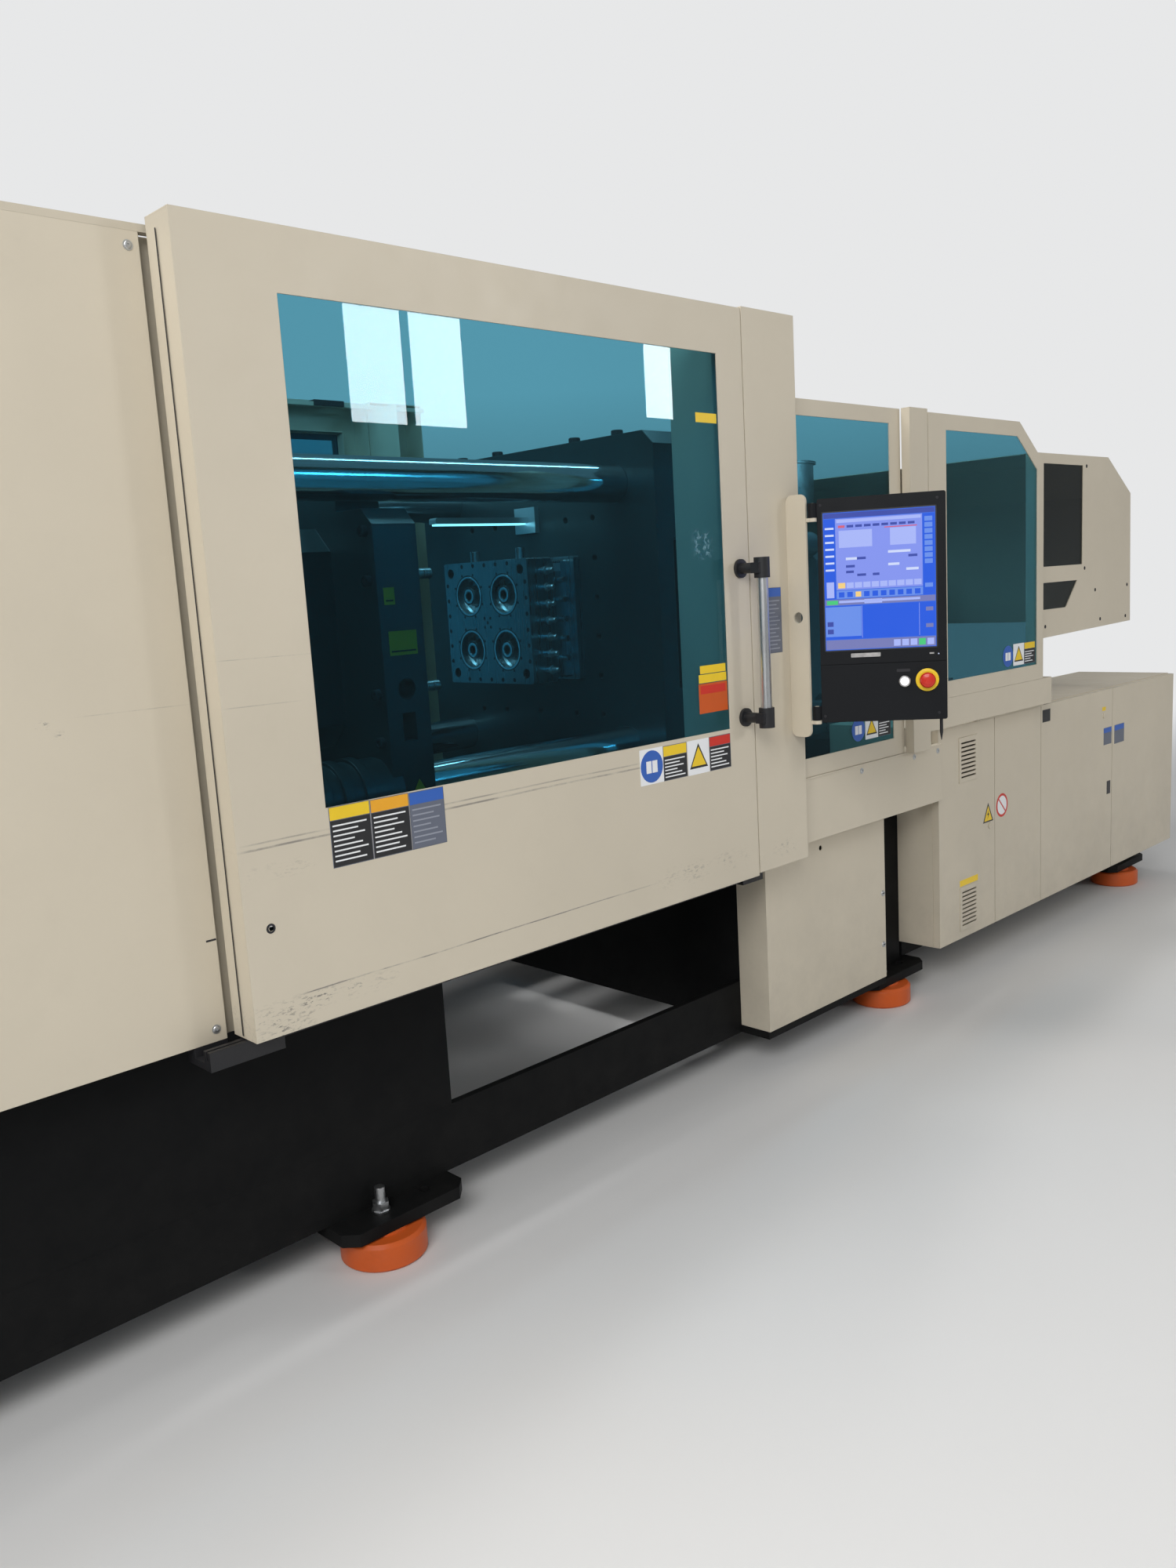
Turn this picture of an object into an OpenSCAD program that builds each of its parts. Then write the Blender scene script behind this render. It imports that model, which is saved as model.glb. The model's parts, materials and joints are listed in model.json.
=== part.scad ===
// Horizontal injection moulding machine, millimetres, +Z up.
// X runs from the clamp end to the injection end, Y from the operator side to the rear.

/* [Overall layout] */
// Depth between the front and rear sheet faces
machine_depth = 1800; // [1760:5:1900]
// Height of the clamp and injection axis above the floor
axis_z = 1390; // [1380:1:1400]
// Thickness of the cover sheets
sheet = 3; // [2:0.5:4]
// Gap between neighbouring covers
seam = 4; // [3:0.5:6]
// Depth of the plain folded covers
fold = 30; // [25:1:34]

/* [Clamp covers] */
// Width of the fixed cover over the clamp cylinder
clamp_cover_w = 1550; // [1500:5:1700]
// Lower edge of the fixed clamp cover
cover_bottom_z = 650; // [640:1:655]
// Upper edge of the fixed clamp cover
cover_top_z = 2154; // [2120:1:2160]
// Setback of the fixed covers behind the gate face
cover_setback = 100; // [100:1:110]
// Width of the fixed cover in front of the stationary platen
post_w = 228; // [210:1:250]
// Lower edge of that cover
post_bottom_z = 665; // [662:1:675]
// Rise of the platen covers above the top of the sliding gates
post_rise = 5; // [0:1:20]

/* [Sliding gates] */
// Width of a gate
gate_w = 1568; // [1500:1:1600]
// Clear space between clamp cover and closed gate
gate_lead = 10; // [5:1:20]
// Lower edge of a gate
gate_bottom_z = 658; // [656:1:660]
// Depth of a gate
gate_t = 88; // [70:1:94]
// Left margin beside the gate window
window_left = 199; // [150:1:260]
// Right margin beside the gate window
window_right = 104; // [90:1:160]
// Margin under the gate window
window_bottom = 428; // [350:1:500]
// Margin over the gate window
window_top = 122; // [90:1:160]
// Thickness of the gate window
pane_t = 6; // [4:1:10]
// Height of the lower rounded hem of a gate
hem_h = 30; // [20:1:40]
// Distance between the two handle mounts
handle_span = 399; // [300:1:500]
// Height of the lower handle mount
handle_z = 1110; // [1000:1:1200]
// Distance of the handle tube from the gate face
handle_standoff = 65; // [50:1:80]
// Diameter of the handle tube
handle_d = 30; // [24:1:34]
// Height of the upper rail bar
rail_h = 14; // [10:1:16]
// Width of the upper rail bar
rail_w = 20; // [15:1:30]

/* [Injection side guards] */
// Width of the purge guard
purge_w = 586; // [500:1:620]
// Lower edge of the purge guard
purge_bottom_z = 890.3; // [890.3:0.1:895]
// Upper edge of the purge guard
purge_top_z = 1973; // [1900:1:2000]
// Setback of the purge guard behind the column face
purge_setback = 33; // [33:0.5:34]
// Depth of the purge guard
purge_t = 14; // [12:0.5:15]
// Frame width of the purge guard
purge_frame = 62; // [40:1:80]
// Width of the column cover
column_w = 106; // [80:1:130]
// Width of the injection guard
guard_w = 805; // [760:1:850]
// Upper edge of the injection guard
guard_top_z = 1965; // [1900:1:2000]
// Drop of the guard's chamfered corner
guard_chamfer_z = 135; // [80:1:200]
// Run of the guard's chamfered corner
guard_chamfer_x = 187; // [120:1:250]
// Depth of the guards, the column cover and the ledge
guard_t = 30; // [26:1:31]
// Left margin of the guard window
guard_left = 110; // [80:1:140]
// Other margins of the guard window
guard_frame = 50; // [35:1:70]
// Thickness of the guard panes
guard_pane_t = 5; // [4:0.5:6]
// Top of the ledge
ledge_top_z = 1046; // [1030:1:1060]
// Height of the ledge
ledge_h = 98; // [80:1:98]
// Width of the far cover
far_w = 872; // [820:1:900]
// Top of the far cover
far_top_z = 1871; // [1850:1:1890]
// Lower edge of the far cover
far_bottom_z = 1190; // [1150:1:1210]
// Setback of the far cover
far_setback = 35; // [35:0.5:40]

/* [Electric cabinet] */
// Distance from the column cover to the cabinet
cabinet_lead = 236; // [200:1:260]
// Width of the first door, beside the column
door_1_w = 400; // [380:1:420]
// Width of the second door
door_2_w = 370; // [340:1:400]
// Width of the third door
door_3_w = 660; // [600:1:700]
// Width of the fourth door
door_4_w = 670; // [600:1:700]
// Face of the cabinet doors
door_y = 50; // [50:1:60]
// Depth of the doors
door_t = 24.5; // [20:0.5:30]
// Lower edge of the cabinet
cabinet_bottom_z = 161; // [150:1:170]
// Upper edge of the cabinet
cabinet_top_z = 935; // [900:1:940]
// Wall thickness of the cabinet
cabinet_wall = 4; // [3:0.5:6]

/* [Base] */
// Underside of the welded base
base_bottom_z = 100; // [95:1:110]
// Top of the machine bed
bed_z = 720; // [710:1:725]
// Thickness of the bed flange
bed_t = 30; // [26:1:34]
// Width of the bed flanges
bed_w = 400; // [360:5:440]
// Thickness of the welded side plates
side_t = 20; // [15:1:25]
// Setback of the welded side plates
side_setback = 210; // [205:1:220]
// Width of the end column
end_column_w = 150; // [120:1:160]
// Width of the discharge bay
bay_w = 1120; // [1000:10:1150]
// Lower edge of the discharge bay
bay_bottom_z = 264; // [220:1:300]
// Upper edge of the discharge bay
bay_top_z = 600; // [560:1:640]
// Top of the injection base
inj_bed_z = 880; // [870:1:885]
// Thickness of the foot plates
foot_t = 30; // [25:1:35]
// Length of a foot plate
foot_len = 340; // [300:1:380]
// Width of a foot plate
foot_w = 110; // [100:1:150]
// Diameter of a levelling pad
pad_d = 200; // [160:1:220]
// Height of the steel cap on a pad
pad_cap_h = 5; // [3:1:8]
// Diameter of the levelling studs
stud_d = 24; // [20:1:30]
// Diameter of the anchor holes
anchor_d = 26; // [20:1:32]

/* [Clamp unit] */
// Width of the platens
platen_w = 1100; // [1060:5:1140]
// Height of the platens
platen_h = 1060; // [1040:5:1070]
// Tie bar spacing, both ways
tie_span = 780; // [760:1:800]
// Tie bar diameter
tie_d = 110; // [90:1:120]
// Thickness of the stationary platen
fixed_platen_t = 290; // [250:1:320]
// Distance from the post cover to the platen face
platen_inset = 18; // [10:1:30]
// Thickness of the moving platen
moving_platen_t = 220; // [200:1:240]
// Thickness of the end platen
end_platen_t = 250; // [200:1:280]
// Thickness of the fixed mould half
fixed_mould_t = 200; // [190:1:220]
// Thickness of the moving mould half
moving_mould_t = 200; // [190:1:220]
// Open distance between the mould halves
daylight = 400; // [300:1:500]
// Further opening travel of the moving platen
open_extra = 150; // [100:1:200]
// Diameter of the clamp ram
ram_d = 300; // [250:1:310]
// Bore of the clamp cylinder
cylinder_d = 320; // [315:1:360]
// Thickness of the piston
piston_t = 60; // [40:1:80]
// Radial running clearance of rams, bushes and pins
fit = 0.05; // [0.02:0.01:0.08]

/* [Mould] */
// Width of the mould
mould_w = 400; // [380:1:440]
// Height of the mould
mould_h = 380; // [370:1:440]
// Distance between cavity centres
cavity_pitch = 169; // [150:1:175]
// Diameter of a cavity
cavity_d = 112; // [90:1:124]
// Depth of a cavity
cavity_h = 30; // [20:1:40]
// Diameter of the guide pillars
pillar_d = 30; // [20:1:30]

/* [Injection unit] */
// Screw diameter
screw_d = 60; // [50:1:66]
// Outside diameter of the barrel
barrel_d = 150; // [130:1:160]
// Length of the barrel
barrel_len = 1210; // [1150:1:1250]
// Length of the nozzle
nozzle_len = 140; // [120:1:160]
// Injection stroke
injection_stroke = 180; // [120:1:200]
// Retraction stroke of the carriage
carriage_stroke = 250; // [200:1:280]
// Outside diameter of the hopper
hopper_d = 300; // [240:1:320]

/* [Control panel] */
// Width of the panel
panel_w = 352; // [330:1:380]
// Height of the panel
panel_h = 614; // [590:1:640]
// Depth of the panel
panel_t = 58; // [45:1:60]
// Swing of the panel away from the machine face, degrees
panel_swing = 56.3; // [40:0.1:70]
// Distance of the panel hinge from the machine face
panel_standoff = 77; // [76:1:85]
// Lower edge of the panel
panel_z = 1070; // [1000:1:1150]
// Visible width of the screen
screen_w = 297; // [280:1:300]
// Visible height of the screen
screen_h = 375; // [350:1:385]

/* [Hidden] */
$fn = 48;
cream = [0.80, 0.77, 0.70];
anthracite = [0.16, 0.17, 0.19];
steel = [0.62, 0.64, 0.66];
black = [0.05, 0.05, 0.055];
tint = [0.10, 0.45, 0.48, 0.5];
eps = 1;
weld = 0.2;

// Places along X
gate_x = clamp_cover_w + gate_lead;
gate_end = gate_x + gate_w;
post_x = gate_end + seam;
purge_x = post_x + post_w + seam;
column_x = purge_x + purge_w + seam;
guard_x = column_x + column_w + seam;
far_x = guard_x + guard_w + 2 * seam;
cabinet_x = column_x + cabinet_lead;
cabinet_w = door_1_w + door_2_w + door_3_w + door_4_w;
machine_len = cabinet_x + cabinet_w;
base_start = fold;
base_end = cabinet_x - seam;
apron_end = column_x - 28;
fixed_face = post_x + platen_inset;
fixed_back = fixed_face + fixed_platen_t;
moving_face = fixed_face - fixed_mould_t - daylight - moving_mould_t;
moving_back = moving_face - moving_platen_t;
cylinder_x = 60;
cylinder_end_t = 40;
cushion = 10;
end_platen_x = cylinder_x + cylinder_end_t + open_extra + daylight + piston_t + 2 * cushion;
piston_x = cylinder_x + cylinder_end_t + cushion + open_extra;

// Places along Y and Z
center_y = machine_depth / 2;
slip = 0.5;
shoe_t = 5.5;
gate_top_z = cover_top_z + rail_h + slip + shoe_t + sheet;
post_top_z = gate_top_z + post_rise;
platen_z = axis_z - platen_h / 2;
pad_h = base_bottom_z - foot_t - pad_cap_h;
flange_y = cover_setback + fold;
bed_inner_y = flange_y + bed_w;

// Reach of the control panel in front, and of the rear handle behind
panel_reach = panel_standoff + panel_w * sin(panel_swing);
handle_boss_r = handle_d / 2 + 6;
handle_reach = handle_standoff + handle_boss_r;
mid_x = machine_len / 2;
mid_y = (machine_depth + handle_reach - panel_reach) / 2;

// Helpers
module in_frame() {
    translate([-mid_x, -mid_y, 0]) children();
}
module at_rear() {
    translate([0, machine_depth, 0]) mirror([0, 1, 0]) children();
}
module both_sides() {
    children();
    at_rear() children();
}
module block(x0, x1, y0, y1, z0, z1) {
    translate([x0, y0, z0]) cube([x1 - x0, y1 - y0, z1 - z0]);
}
module rod_x(x0, x1, y, z, r) {
    translate([x0, y, z]) rotate([0, 90, 0]) cylinder(r = r, h = x1 - x0);
}
module rod_y(x, y0, y1, z, r) {
    translate([x, y0, z]) rotate([-90, 0, 0]) cylinder(r = r, h = y1 - y0);
}
module turned_x(x, y, z) {
    translate([x, y, z]) rotate([0, 90, 0]) rotate_extrude() children();
}
module slab_y(y0, y1) {
    translate([0, y1, 0]) rotate([90, 0, 0]) linear_extrude(y1 - y0) children();
}
module slab_x(x0, x1) {
    translate([x0, 0, 0]) rotate([90, 0, 90]) linear_extrude(x1 - x0) children();
}
module tray(x0, x1, y0, y1, z0, z1) {
    y = y0 + sheet + weld;
    block(x0, x1, y0, y0 + sheet, z0, z1);
    for (z = [z0, z1 - sheet]) block(x0, x1, y, y1, z, z + sheet);
    for (x = [x0, x1 - sheet]) block(x, x + sheet, y, y1, z0 + sheet + weld, z1 - sheet - weld);
}
module ring_y(x0, x1, y0, y1, z0, z1, w) {
    for (z = [z0, z1 - w]) block(x0, x1, y0, y1, z, z + w);
    for (x = [x0, x1 - w]) block(x, x + w, y0, y1, z0 + w + weld, z1 - w - weld);
}
module slope_y(x0, z0, x1, z1, y0, y1) {
    slab_y(y0, y1) polygon([[x0 - sheet, z0], [x0, z0], [x1, z1], [x1, z1 - sheet]]);
}
module rounded(w, h, r) {
    translate([r, 0]) square([w - 2 * r, h]);
    translate([0, r]) square([w, h - 2 * r]);
    for (x = [r, w - r], y = [r, h - r]) translate([x, y]) circle(r);
}
module chamfered(w, h, c) {
    polygon([[c, 0], [w - c, 0], [w, c], [w, h - c], [w - c, h], [c, h], [0, h - c], [0, c]]);
}
module quad(dy, dz) {
    for (sy = [-1, 1], sz = [-1, 1]) translate([0, sy * dy, sz * dz]) children();
}

// Welded base
foot_gap = 100;
foot_y = 125;
stud_inset = 125;
anchor_inset = 249;
stud_y = foot_y + foot_w / 2;
foot_xs = [base_start + foot_gap, moving_back - foot_len, apron_end - 36];
foot_far_x = machine_len - foot_len - foot_gap;
base_foot_w = 170;
base_foot_t = 24;

module feet_at() {
    for (x = foot_xs) both_sides() translate([x, 0, 0]) children();
}
module far_feet_at() {
    both_sides() translate([foot_far_x, 0, 0]) children();
}
module foot_plate() {
    z0 = base_bottom_z - foot_t;
    difference() {
        translate([0, foot_y, z0]) linear_extrude(foot_t - weld)
            polygon([[30, 0], [foot_len - 30, 0], [foot_len, 30], [foot_len, foot_w * 2],
                [0, foot_w * 2], [0, 30]]);
        translate([stud_inset, stud_y, z0 - eps]) cylinder(d = stud_d + 2, h = foot_t + 2 * eps);
        translate([anchor_inset, stud_y, z0 - eps]) cylinder(d = anchor_d, h = foot_t + 2 * eps);
    }
}
bay_x = fixed_face + 130 - bay_w;
apron_x = bay_x + bay_w;
bulkheads = [base_start + 10, end_platen_x + end_platen_t, bay_x - side_t, bay_x + bay_w,
    base_end - side_t];

module hollow_wall(x, y0, y1, z0, z1, hole) {
    block(x, x + side_t, y0, y1, z0, bay_bottom_z);
    block(x, x + side_t, y0, y1, bay_top_z, z1);
    for (y = [[y0, center_y - hole], [center_y + hole, y1]])
        block(x, x + side_t, y[0], y[1], bay_bottom_z + weld, bay_top_z - weld);
}
module clamp_base() color(anthracite) in_frame() {
    low_z = base_bottom_z + base_foot_t;
    inner = side_setback + side_t;
    start = base_start + 10;
    end = base_end - end_column_w;
    z0 = low_z + weld;
    z1 = bed_z - bed_t - weld;
    both_sides() {
        block(start, end, side_setback, inner, z0, bay_bottom_z);
        block(start, end, side_setback, inner, bay_top_z, z1);
        for (x = [[start, bay_x], [apron_x, end]])
            block(x[0], x[1], side_setback, inner, bay_bottom_z + weld, bay_top_z - weld);
        block(end + weld, base_end, side_setback, inner, z0, inj_bed_z);
        block(start, base_end, side_setback, side_setback + base_foot_w, base_bottom_z, low_z);
        block(base_start, end, flange_y, bed_inner_y, bed_z - bed_t, bed_z);
        block(post_x + seam, post_x + post_w - seam, cover_setback, flange_y - weld,
            bed_z - bed_t, bed_z);
    }
    block(apron_x, apron_end, cover_setback + seam, side_setback - weld, base_bottom_z, low_z);
    for (x = [bulkheads[0], bulkheads[3], bulkheads[4]])
        block(x, x + side_t, inner + weld, machine_depth - inner - weld, z0, z1);
    for (x = [bulkheads[1], bulkheads[2]])
        hollow_wall(x, inner + weld, machine_depth - inner - weld, z0, z1, 300);
    feet_at() foot_plate();
}

access_w = 800;
access_pitch = 900;
module injection_base() color(anthracite) in_frame() {
    x0 = base_end + weld;
    x1 = machine_len - side_t;
    y0 = cabinet_back;
    y1 = machine_depth - rear_fold;
    low_z = base_bottom_z + base_foot_t;
    deck_z = inj_bed_z - bed_t + 5;
    z0 = low_z + weld;
    z1 = deck_z - weld;
    plinth_y = foot_y + foot_w * 2;
    plinth_x = cabinet_x + side_t;
    difference() {
        union() {
            block(x0, x1, y1 - 320, y1, base_bottom_z, low_z);
            block(x0, x0 + foot_len, y0, y1 - 320 - weld, base_bottom_z, low_z);
        }
        at_rear() translate([foot_far_x, stud_y, base_bottom_z]) {
            translate([stud_inset, 0, 0]) cylinder(d = stud_d * 2.5, h = base_foot_t + eps);
            translate([anchor_inset, 0, -eps]) cylinder(d = anchor_d, h = base_foot_t + 2 * eps);
        }
    }
    block(x0 + foot_len + weld, x1, y0, y0 + 100, base_bottom_z, low_z);
    block(foot_far_x - side_t, x1, y0 + 100 + weld, y1 - 320 - weld, base_bottom_z, low_z);
    block(x0, x1, y0, y0 + side_t, z0, z1);
    for (x = [x0, x1 - side_t]) block(x, x + side_t, y0 + side_t + weld, y1 - side_t - weld, z0, z1);
    block(x0, x1, y1 - side_t, y1, z0, bay_bottom_z);
    block(x0, x1, y1 - side_t, y1, bay_top_z, z1);
    access_x = x0 + 200;
    for (x = [[x0, access_x], [access_x + access_w, access_x + access_pitch],
            [access_x + access_pitch + access_w, x1]])
        block(x[0], x[1], y1 - side_t, y1, bay_bottom_z + weld, bay_top_z - weld);
    for (y = [[y0, center_y - 120], [center_y + 120, y1]])
        block(x0, x1, y[0], y[1], deck_z, inj_bed_z);
    for (x = [[x0, x0 + 250], [x1 - 400, x1]])
        block(x[0], x[1], center_y - 120 + weld, center_y + 120 - weld, deck_z, inj_bed_z);
    block(plinth_x, x1, side_setback + 5, plinth_y, base_bottom_z, cabinet_bottom_z);
    for (x = [plinth_x, x1 - side_t])
        block(x, x + side_t, plinth_y + weld, y0 - weld, base_bottom_z, cabinet_bottom_z - 10);
    block(plinth_x, x1, plinth_y + weld, y0 - weld, cabinet_bottom_z - 10 + weld, cabinet_bottom_z);
    far_feet_at() foot_plate();
}

module levelling_pad() {
    r = pad_d / 2;
    translate([stud_inset, stud_y, 0]) rotate_extrude()
        polygon([[0, 0], [r - 5, 0], [r, 5], [r, pad_h - 8], [r - 8, pad_h],
            [r * 0.6, pad_h], [r * 0.6, pad_h + pad_cap_h], [0, pad_h + pad_cap_h]]);
}
module levelling_pads() color([0.88, 0.33, 0.10]) in_frame() {
    feet_at() levelling_pad();
    far_feet_at() levelling_pad();
}
module levelling_stud() {
    translate([stud_inset, stud_y, 0]) {
        translate([0, 0, base_bottom_z - foot_t]) cylinder(d = stud_d, h = foot_t + 58);
        translate([0, 0, base_bottom_z]) cylinder(d = stud_d * 1.8, h = 4);
        translate([0, 0, base_bottom_z + 4]) cylinder(d = stud_d * 1.7, h = stud_d * 0.8, $fn = 6);
    }
}
module levelling_studs() color(steel) in_frame() {
    feet_at() levelling_stud();
    far_feet_at() levelling_stud();
}

lower_top_z = bed_z - bed_t;
track_h = 5;
upper_top_z = purge_bottom_z - slip - track_h;
module base_aprons() color(cream) in_frame() {
    difference() {
        tray(apron_x, apron_end, cover_setback, side_setback, base_bottom_z + base_foot_t,
            lower_top_z);
        rod_y(purge_x + 200, cover_setback - eps, cover_setback + sheet + eps,
            lower_top_z - 50, 8);
    }
    tray(purge_x, cabinet_x - seam, purge_setback, flange_y, lower_top_z + seam, upper_top_z);
}

// Fixed clamp parts
module platen_block(x0, x1) {
    translate([0, center_y - platen_w / 2, platen_z]) slab_x(x0, x1)
        chamfered(platen_w, platen_h, 40);
}
module platen_feet(x0, x1, z0) {
    for (s = [-1, 1]) {
        y = center_y + s * (platen_w / 2 - 110);
        block(x0, x1, y - 70, y + 70, z0, platen_z - weld);
    }
}
module tie_bores(x0, x1) {
    translate([0, center_y, axis_z]) quad(tie_span / 2, tie_span / 2)
        rod_x(x0 - eps, x1 + eps, 0, 0, tie_d / 2 + 10 * fit);
}

module end_platen() color(anthracite) in_frame() {
    x1 = end_platen_x + end_platen_t;
    difference() {
        union() {
            platen_block(end_platen_x, x1);
            platen_feet(end_platen_x + 20, x1 - 20, bed_z);
        }
        tie_bores(end_platen_x, x1);
        rod_x(end_platen_x - eps, x1 + eps, center_y, axis_z, ram_d / 2 + fit);
        translate([0, center_y, axis_z]) for (s = [-1, 1]) {
            block(end_platen_x + 60, x1 - 60, s > 0 ? 230 : -platen_w, s > 0 ? platen_w : -230,
                -150, 150);
        }
    }
}
module clamp_cylinder() color(anthracite) in_frame() {
    len = end_platen_x - cylinder_x;
    rb = cylinder_d / 2;
    turned_x(cylinder_x, center_y, axis_z)
        polygon([[0, 0], [rb + 40, 0], [rb + 60, 20], [rb + 60, len - 50], [rb + 140, len - 50],
            [rb + 140, len], [rb, len], [rb, cylinder_end_t], [0, cylinder_end_t]]);
    for (x = [cylinder_x + 100, end_platen_x - 110])
        translate([x, center_y, axis_z + rb + 50]) cylinder(r = 30, h = 50);
    translate([0, center_y, axis_z]) for (a = [15 : 30 : 345]) rotate([a, 0, 0])
        translate([end_platen_x - 68, 0, rb + 108]) rotate([0, 90, 0])
            cylinder(r = 18, h = 18, $fn = 6);
}

hole_y = 290;
hole_z = 300;
mould_hole_r = 10;
robot_hole_r = 8;
robot_dx = 200;
robot_dy = 400;
module platen_holes(x0, x1) {
    translate([0, center_y, axis_z]) {
        quad(hole_y, hole_z) rod_x(x0, x1, 0, 0, mould_hole_r);
        for (sy = [-1, 1], z = [-180, -60, 60, 180])
            rod_x(x0, x1, sy * hole_y, z, mould_hole_r);
        for (sz = [-1, 1], y = [-170, 0, 170])
            rod_x(x0, x1, y, sz * hole_z, mould_hole_r);
    }
}
module stationary_platen() color(anthracite) in_frame() {
    difference() {
        union() {
            platen_block(fixed_face, fixed_back);
            platen_feet(fixed_face + 20, fixed_back - 20, bed_z);
        }
        tie_bores(fixed_face, fixed_back);
        turned_x(fixed_face, center_y, axis_z)
            polygon([[0, -eps], [80, -eps], [80, 40], [125, 90], [200, fixed_platen_t],
                [200, fixed_platen_t + eps], [0, fixed_platen_t + eps]]);
        platen_holes(fixed_face - eps, fixed_face + 50);
        for (sx = [-1, 1], sy = [-1, 1])
            translate([(fixed_face + fixed_back + sx * robot_dx) / 2,
                center_y + sy * robot_dy / 2, platen_z + platen_h - 40])
                cylinder(r = robot_hole_r, h = 40 + eps);
        translate([0, center_y, 0]) for (s = [-1, 1])
            block(fixed_face + 70, fixed_back - 70, s > 0 ? 400 : -platen_w,
                s > 0 ? platen_w : -400, axis_z - 220, axis_z + 220);
    }
}
nut_t = 70;
module tie_bars() color([0.82, 0.84, 0.86]) in_frame()
    translate([0, center_y, axis_z]) quad(tie_span / 2, tie_span / 2)
        rod_x(end_platen_x - nut_t - 20, fixed_back + nut_t + 20, 0, 0, tie_d / 2);
module tie_nut() {
    rotate([0, 90, 0]) difference() {
        cylinder(r = tie_d * 0.85, h = nut_t, $fn = 8);
        translate([0, 0, -eps]) cylinder(r = tie_d / 2 + 2 * fit, h = nut_t + 2 * eps);
    }
}
module tie_bar_nuts() color(steel) in_frame()
    translate([0, center_y, axis_z]) quad(tie_span / 2, tie_span / 2) {
        translate([end_platen_x - nut_t, 0, 0]) tie_nut();
        translate([fixed_back, 0, 0]) tie_nut();
    }

// Mould halves, built about the clamp axis
clamp_plate_t = 25;
pillar_dy = mould_w / 2 - 32;
pillar_dz = mould_h / 2 - 32;
pillar_reach = 60;
core_gap = 2;
ejector_pin_r = 6;
ejector_stroke = 58;
gate_drop = ejector_stroke + 8;
module mould_plate(x0, x1, w, h) {
    translate([0, -w / 2, -h / 2]) slab_x(x0, x1) chamfered(w, h, 4);
}
module fixed_mould_half() color([0.55, 0.60, 0.62]) in_frame()
    translate([fixed_face - fixed_mould_t, center_y, axis_z]) {
        t = fixed_mould_t;
        difference() {
            union() {
                mould_plate(0, t / 2, mould_w, mould_h);
                mould_plate(t / 2, t - clamp_plate_t, mould_w - 24, mould_h - 20);
                mould_plate(t - clamp_plate_t, t, mould_w + 40, mould_h);
            }
            quad(cavity_pitch / 2, cavity_pitch / 2) turned_x(0, 0, 0) {
                r = cavity_d / 2;
                polygon([[r * 0.5, -eps], [r, -eps], [r, cavity_h - 6], [r - 6, cavity_h],
                    [r * 0.62, cavity_h], [r * 0.5, cavity_h - 8]]);
            }
            quad(cavity_pitch / 2, cavity_pitch / 2) rod_x(-eps, gate_drop, 0, 0, cavity_d * 0.12);
            quad(pillar_dy, pillar_dz) rod_x(-eps, pillar_reach + 10, 0, 0, pillar_d / 2 + fit);
            rod_x(t - 12, t + eps, 0, 0, 18);
        }
        for (z = [-150 : 50 : 150]) rod_y(t * 0.28, -mould_w / 2 - 24, -mould_w / 2, z, 11);
        for (z = [-120 : 60 : 120]) rod_y(t * 0.7, -mould_w / 2 - 16, -mould_w / 2 + 12, z, 9);
        for (y = [-110, 110]) translate([t * 0.28, y, mould_h / 2]) cylinder(r = 14, h = 34);
    }
module moving_mould_half() color([0.55, 0.60, 0.62]) in_frame()
    translate([moving_face, center_y, axis_z]) {
        t = moving_mould_t;
        riser = 46;
        core_plate = 75;
        difference() {
            union() {
                mould_plate(0, clamp_plate_t - weld, mould_w + 40, mould_h);
                for (s = [-1, 1]) translate([0, s * (mould_w - riser) / 2, 0])
                    mould_plate(clamp_plate_t, t - core_plate - weld, riser, mould_h);
                mould_plate(t - core_plate, t, mould_w, mould_h);
                quad(cavity_pitch / 2, cavity_pitch / 2) turned_x(t, 0, 0) {
                    r = cavity_d / 2;
                    polygon([[r * 0.5 + core_gap, 0], [r - core_gap, 0],
                        [r - core_gap, cavity_h - 10], [r - 10, cavity_h - 3],
                        [r * 0.62 + core_gap, cavity_h - 3],
                        [r * 0.5 + core_gap, cavity_h - 12]]);
                }
                quad(pillar_dy, pillar_dz) rod_x(t, t + pillar_reach, 0, 0, pillar_d / 2);
            }
            quad(rod_offset, rod_offset) rod_x(-eps, clamp_plate_t + eps, 0, 0, rod_r + 5);
            quad(cavity_pitch / 2, cavity_pitch / 2)
                rod_x(t - core_plate - eps, t + eps, 0, 0, ejector_pin_r + fit);
        }
        for (z = [-120 : 60 : 120]) rod_y(t - 40, -mould_w / 2 - 20, -mould_w / 2, z, 10);
    }

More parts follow.
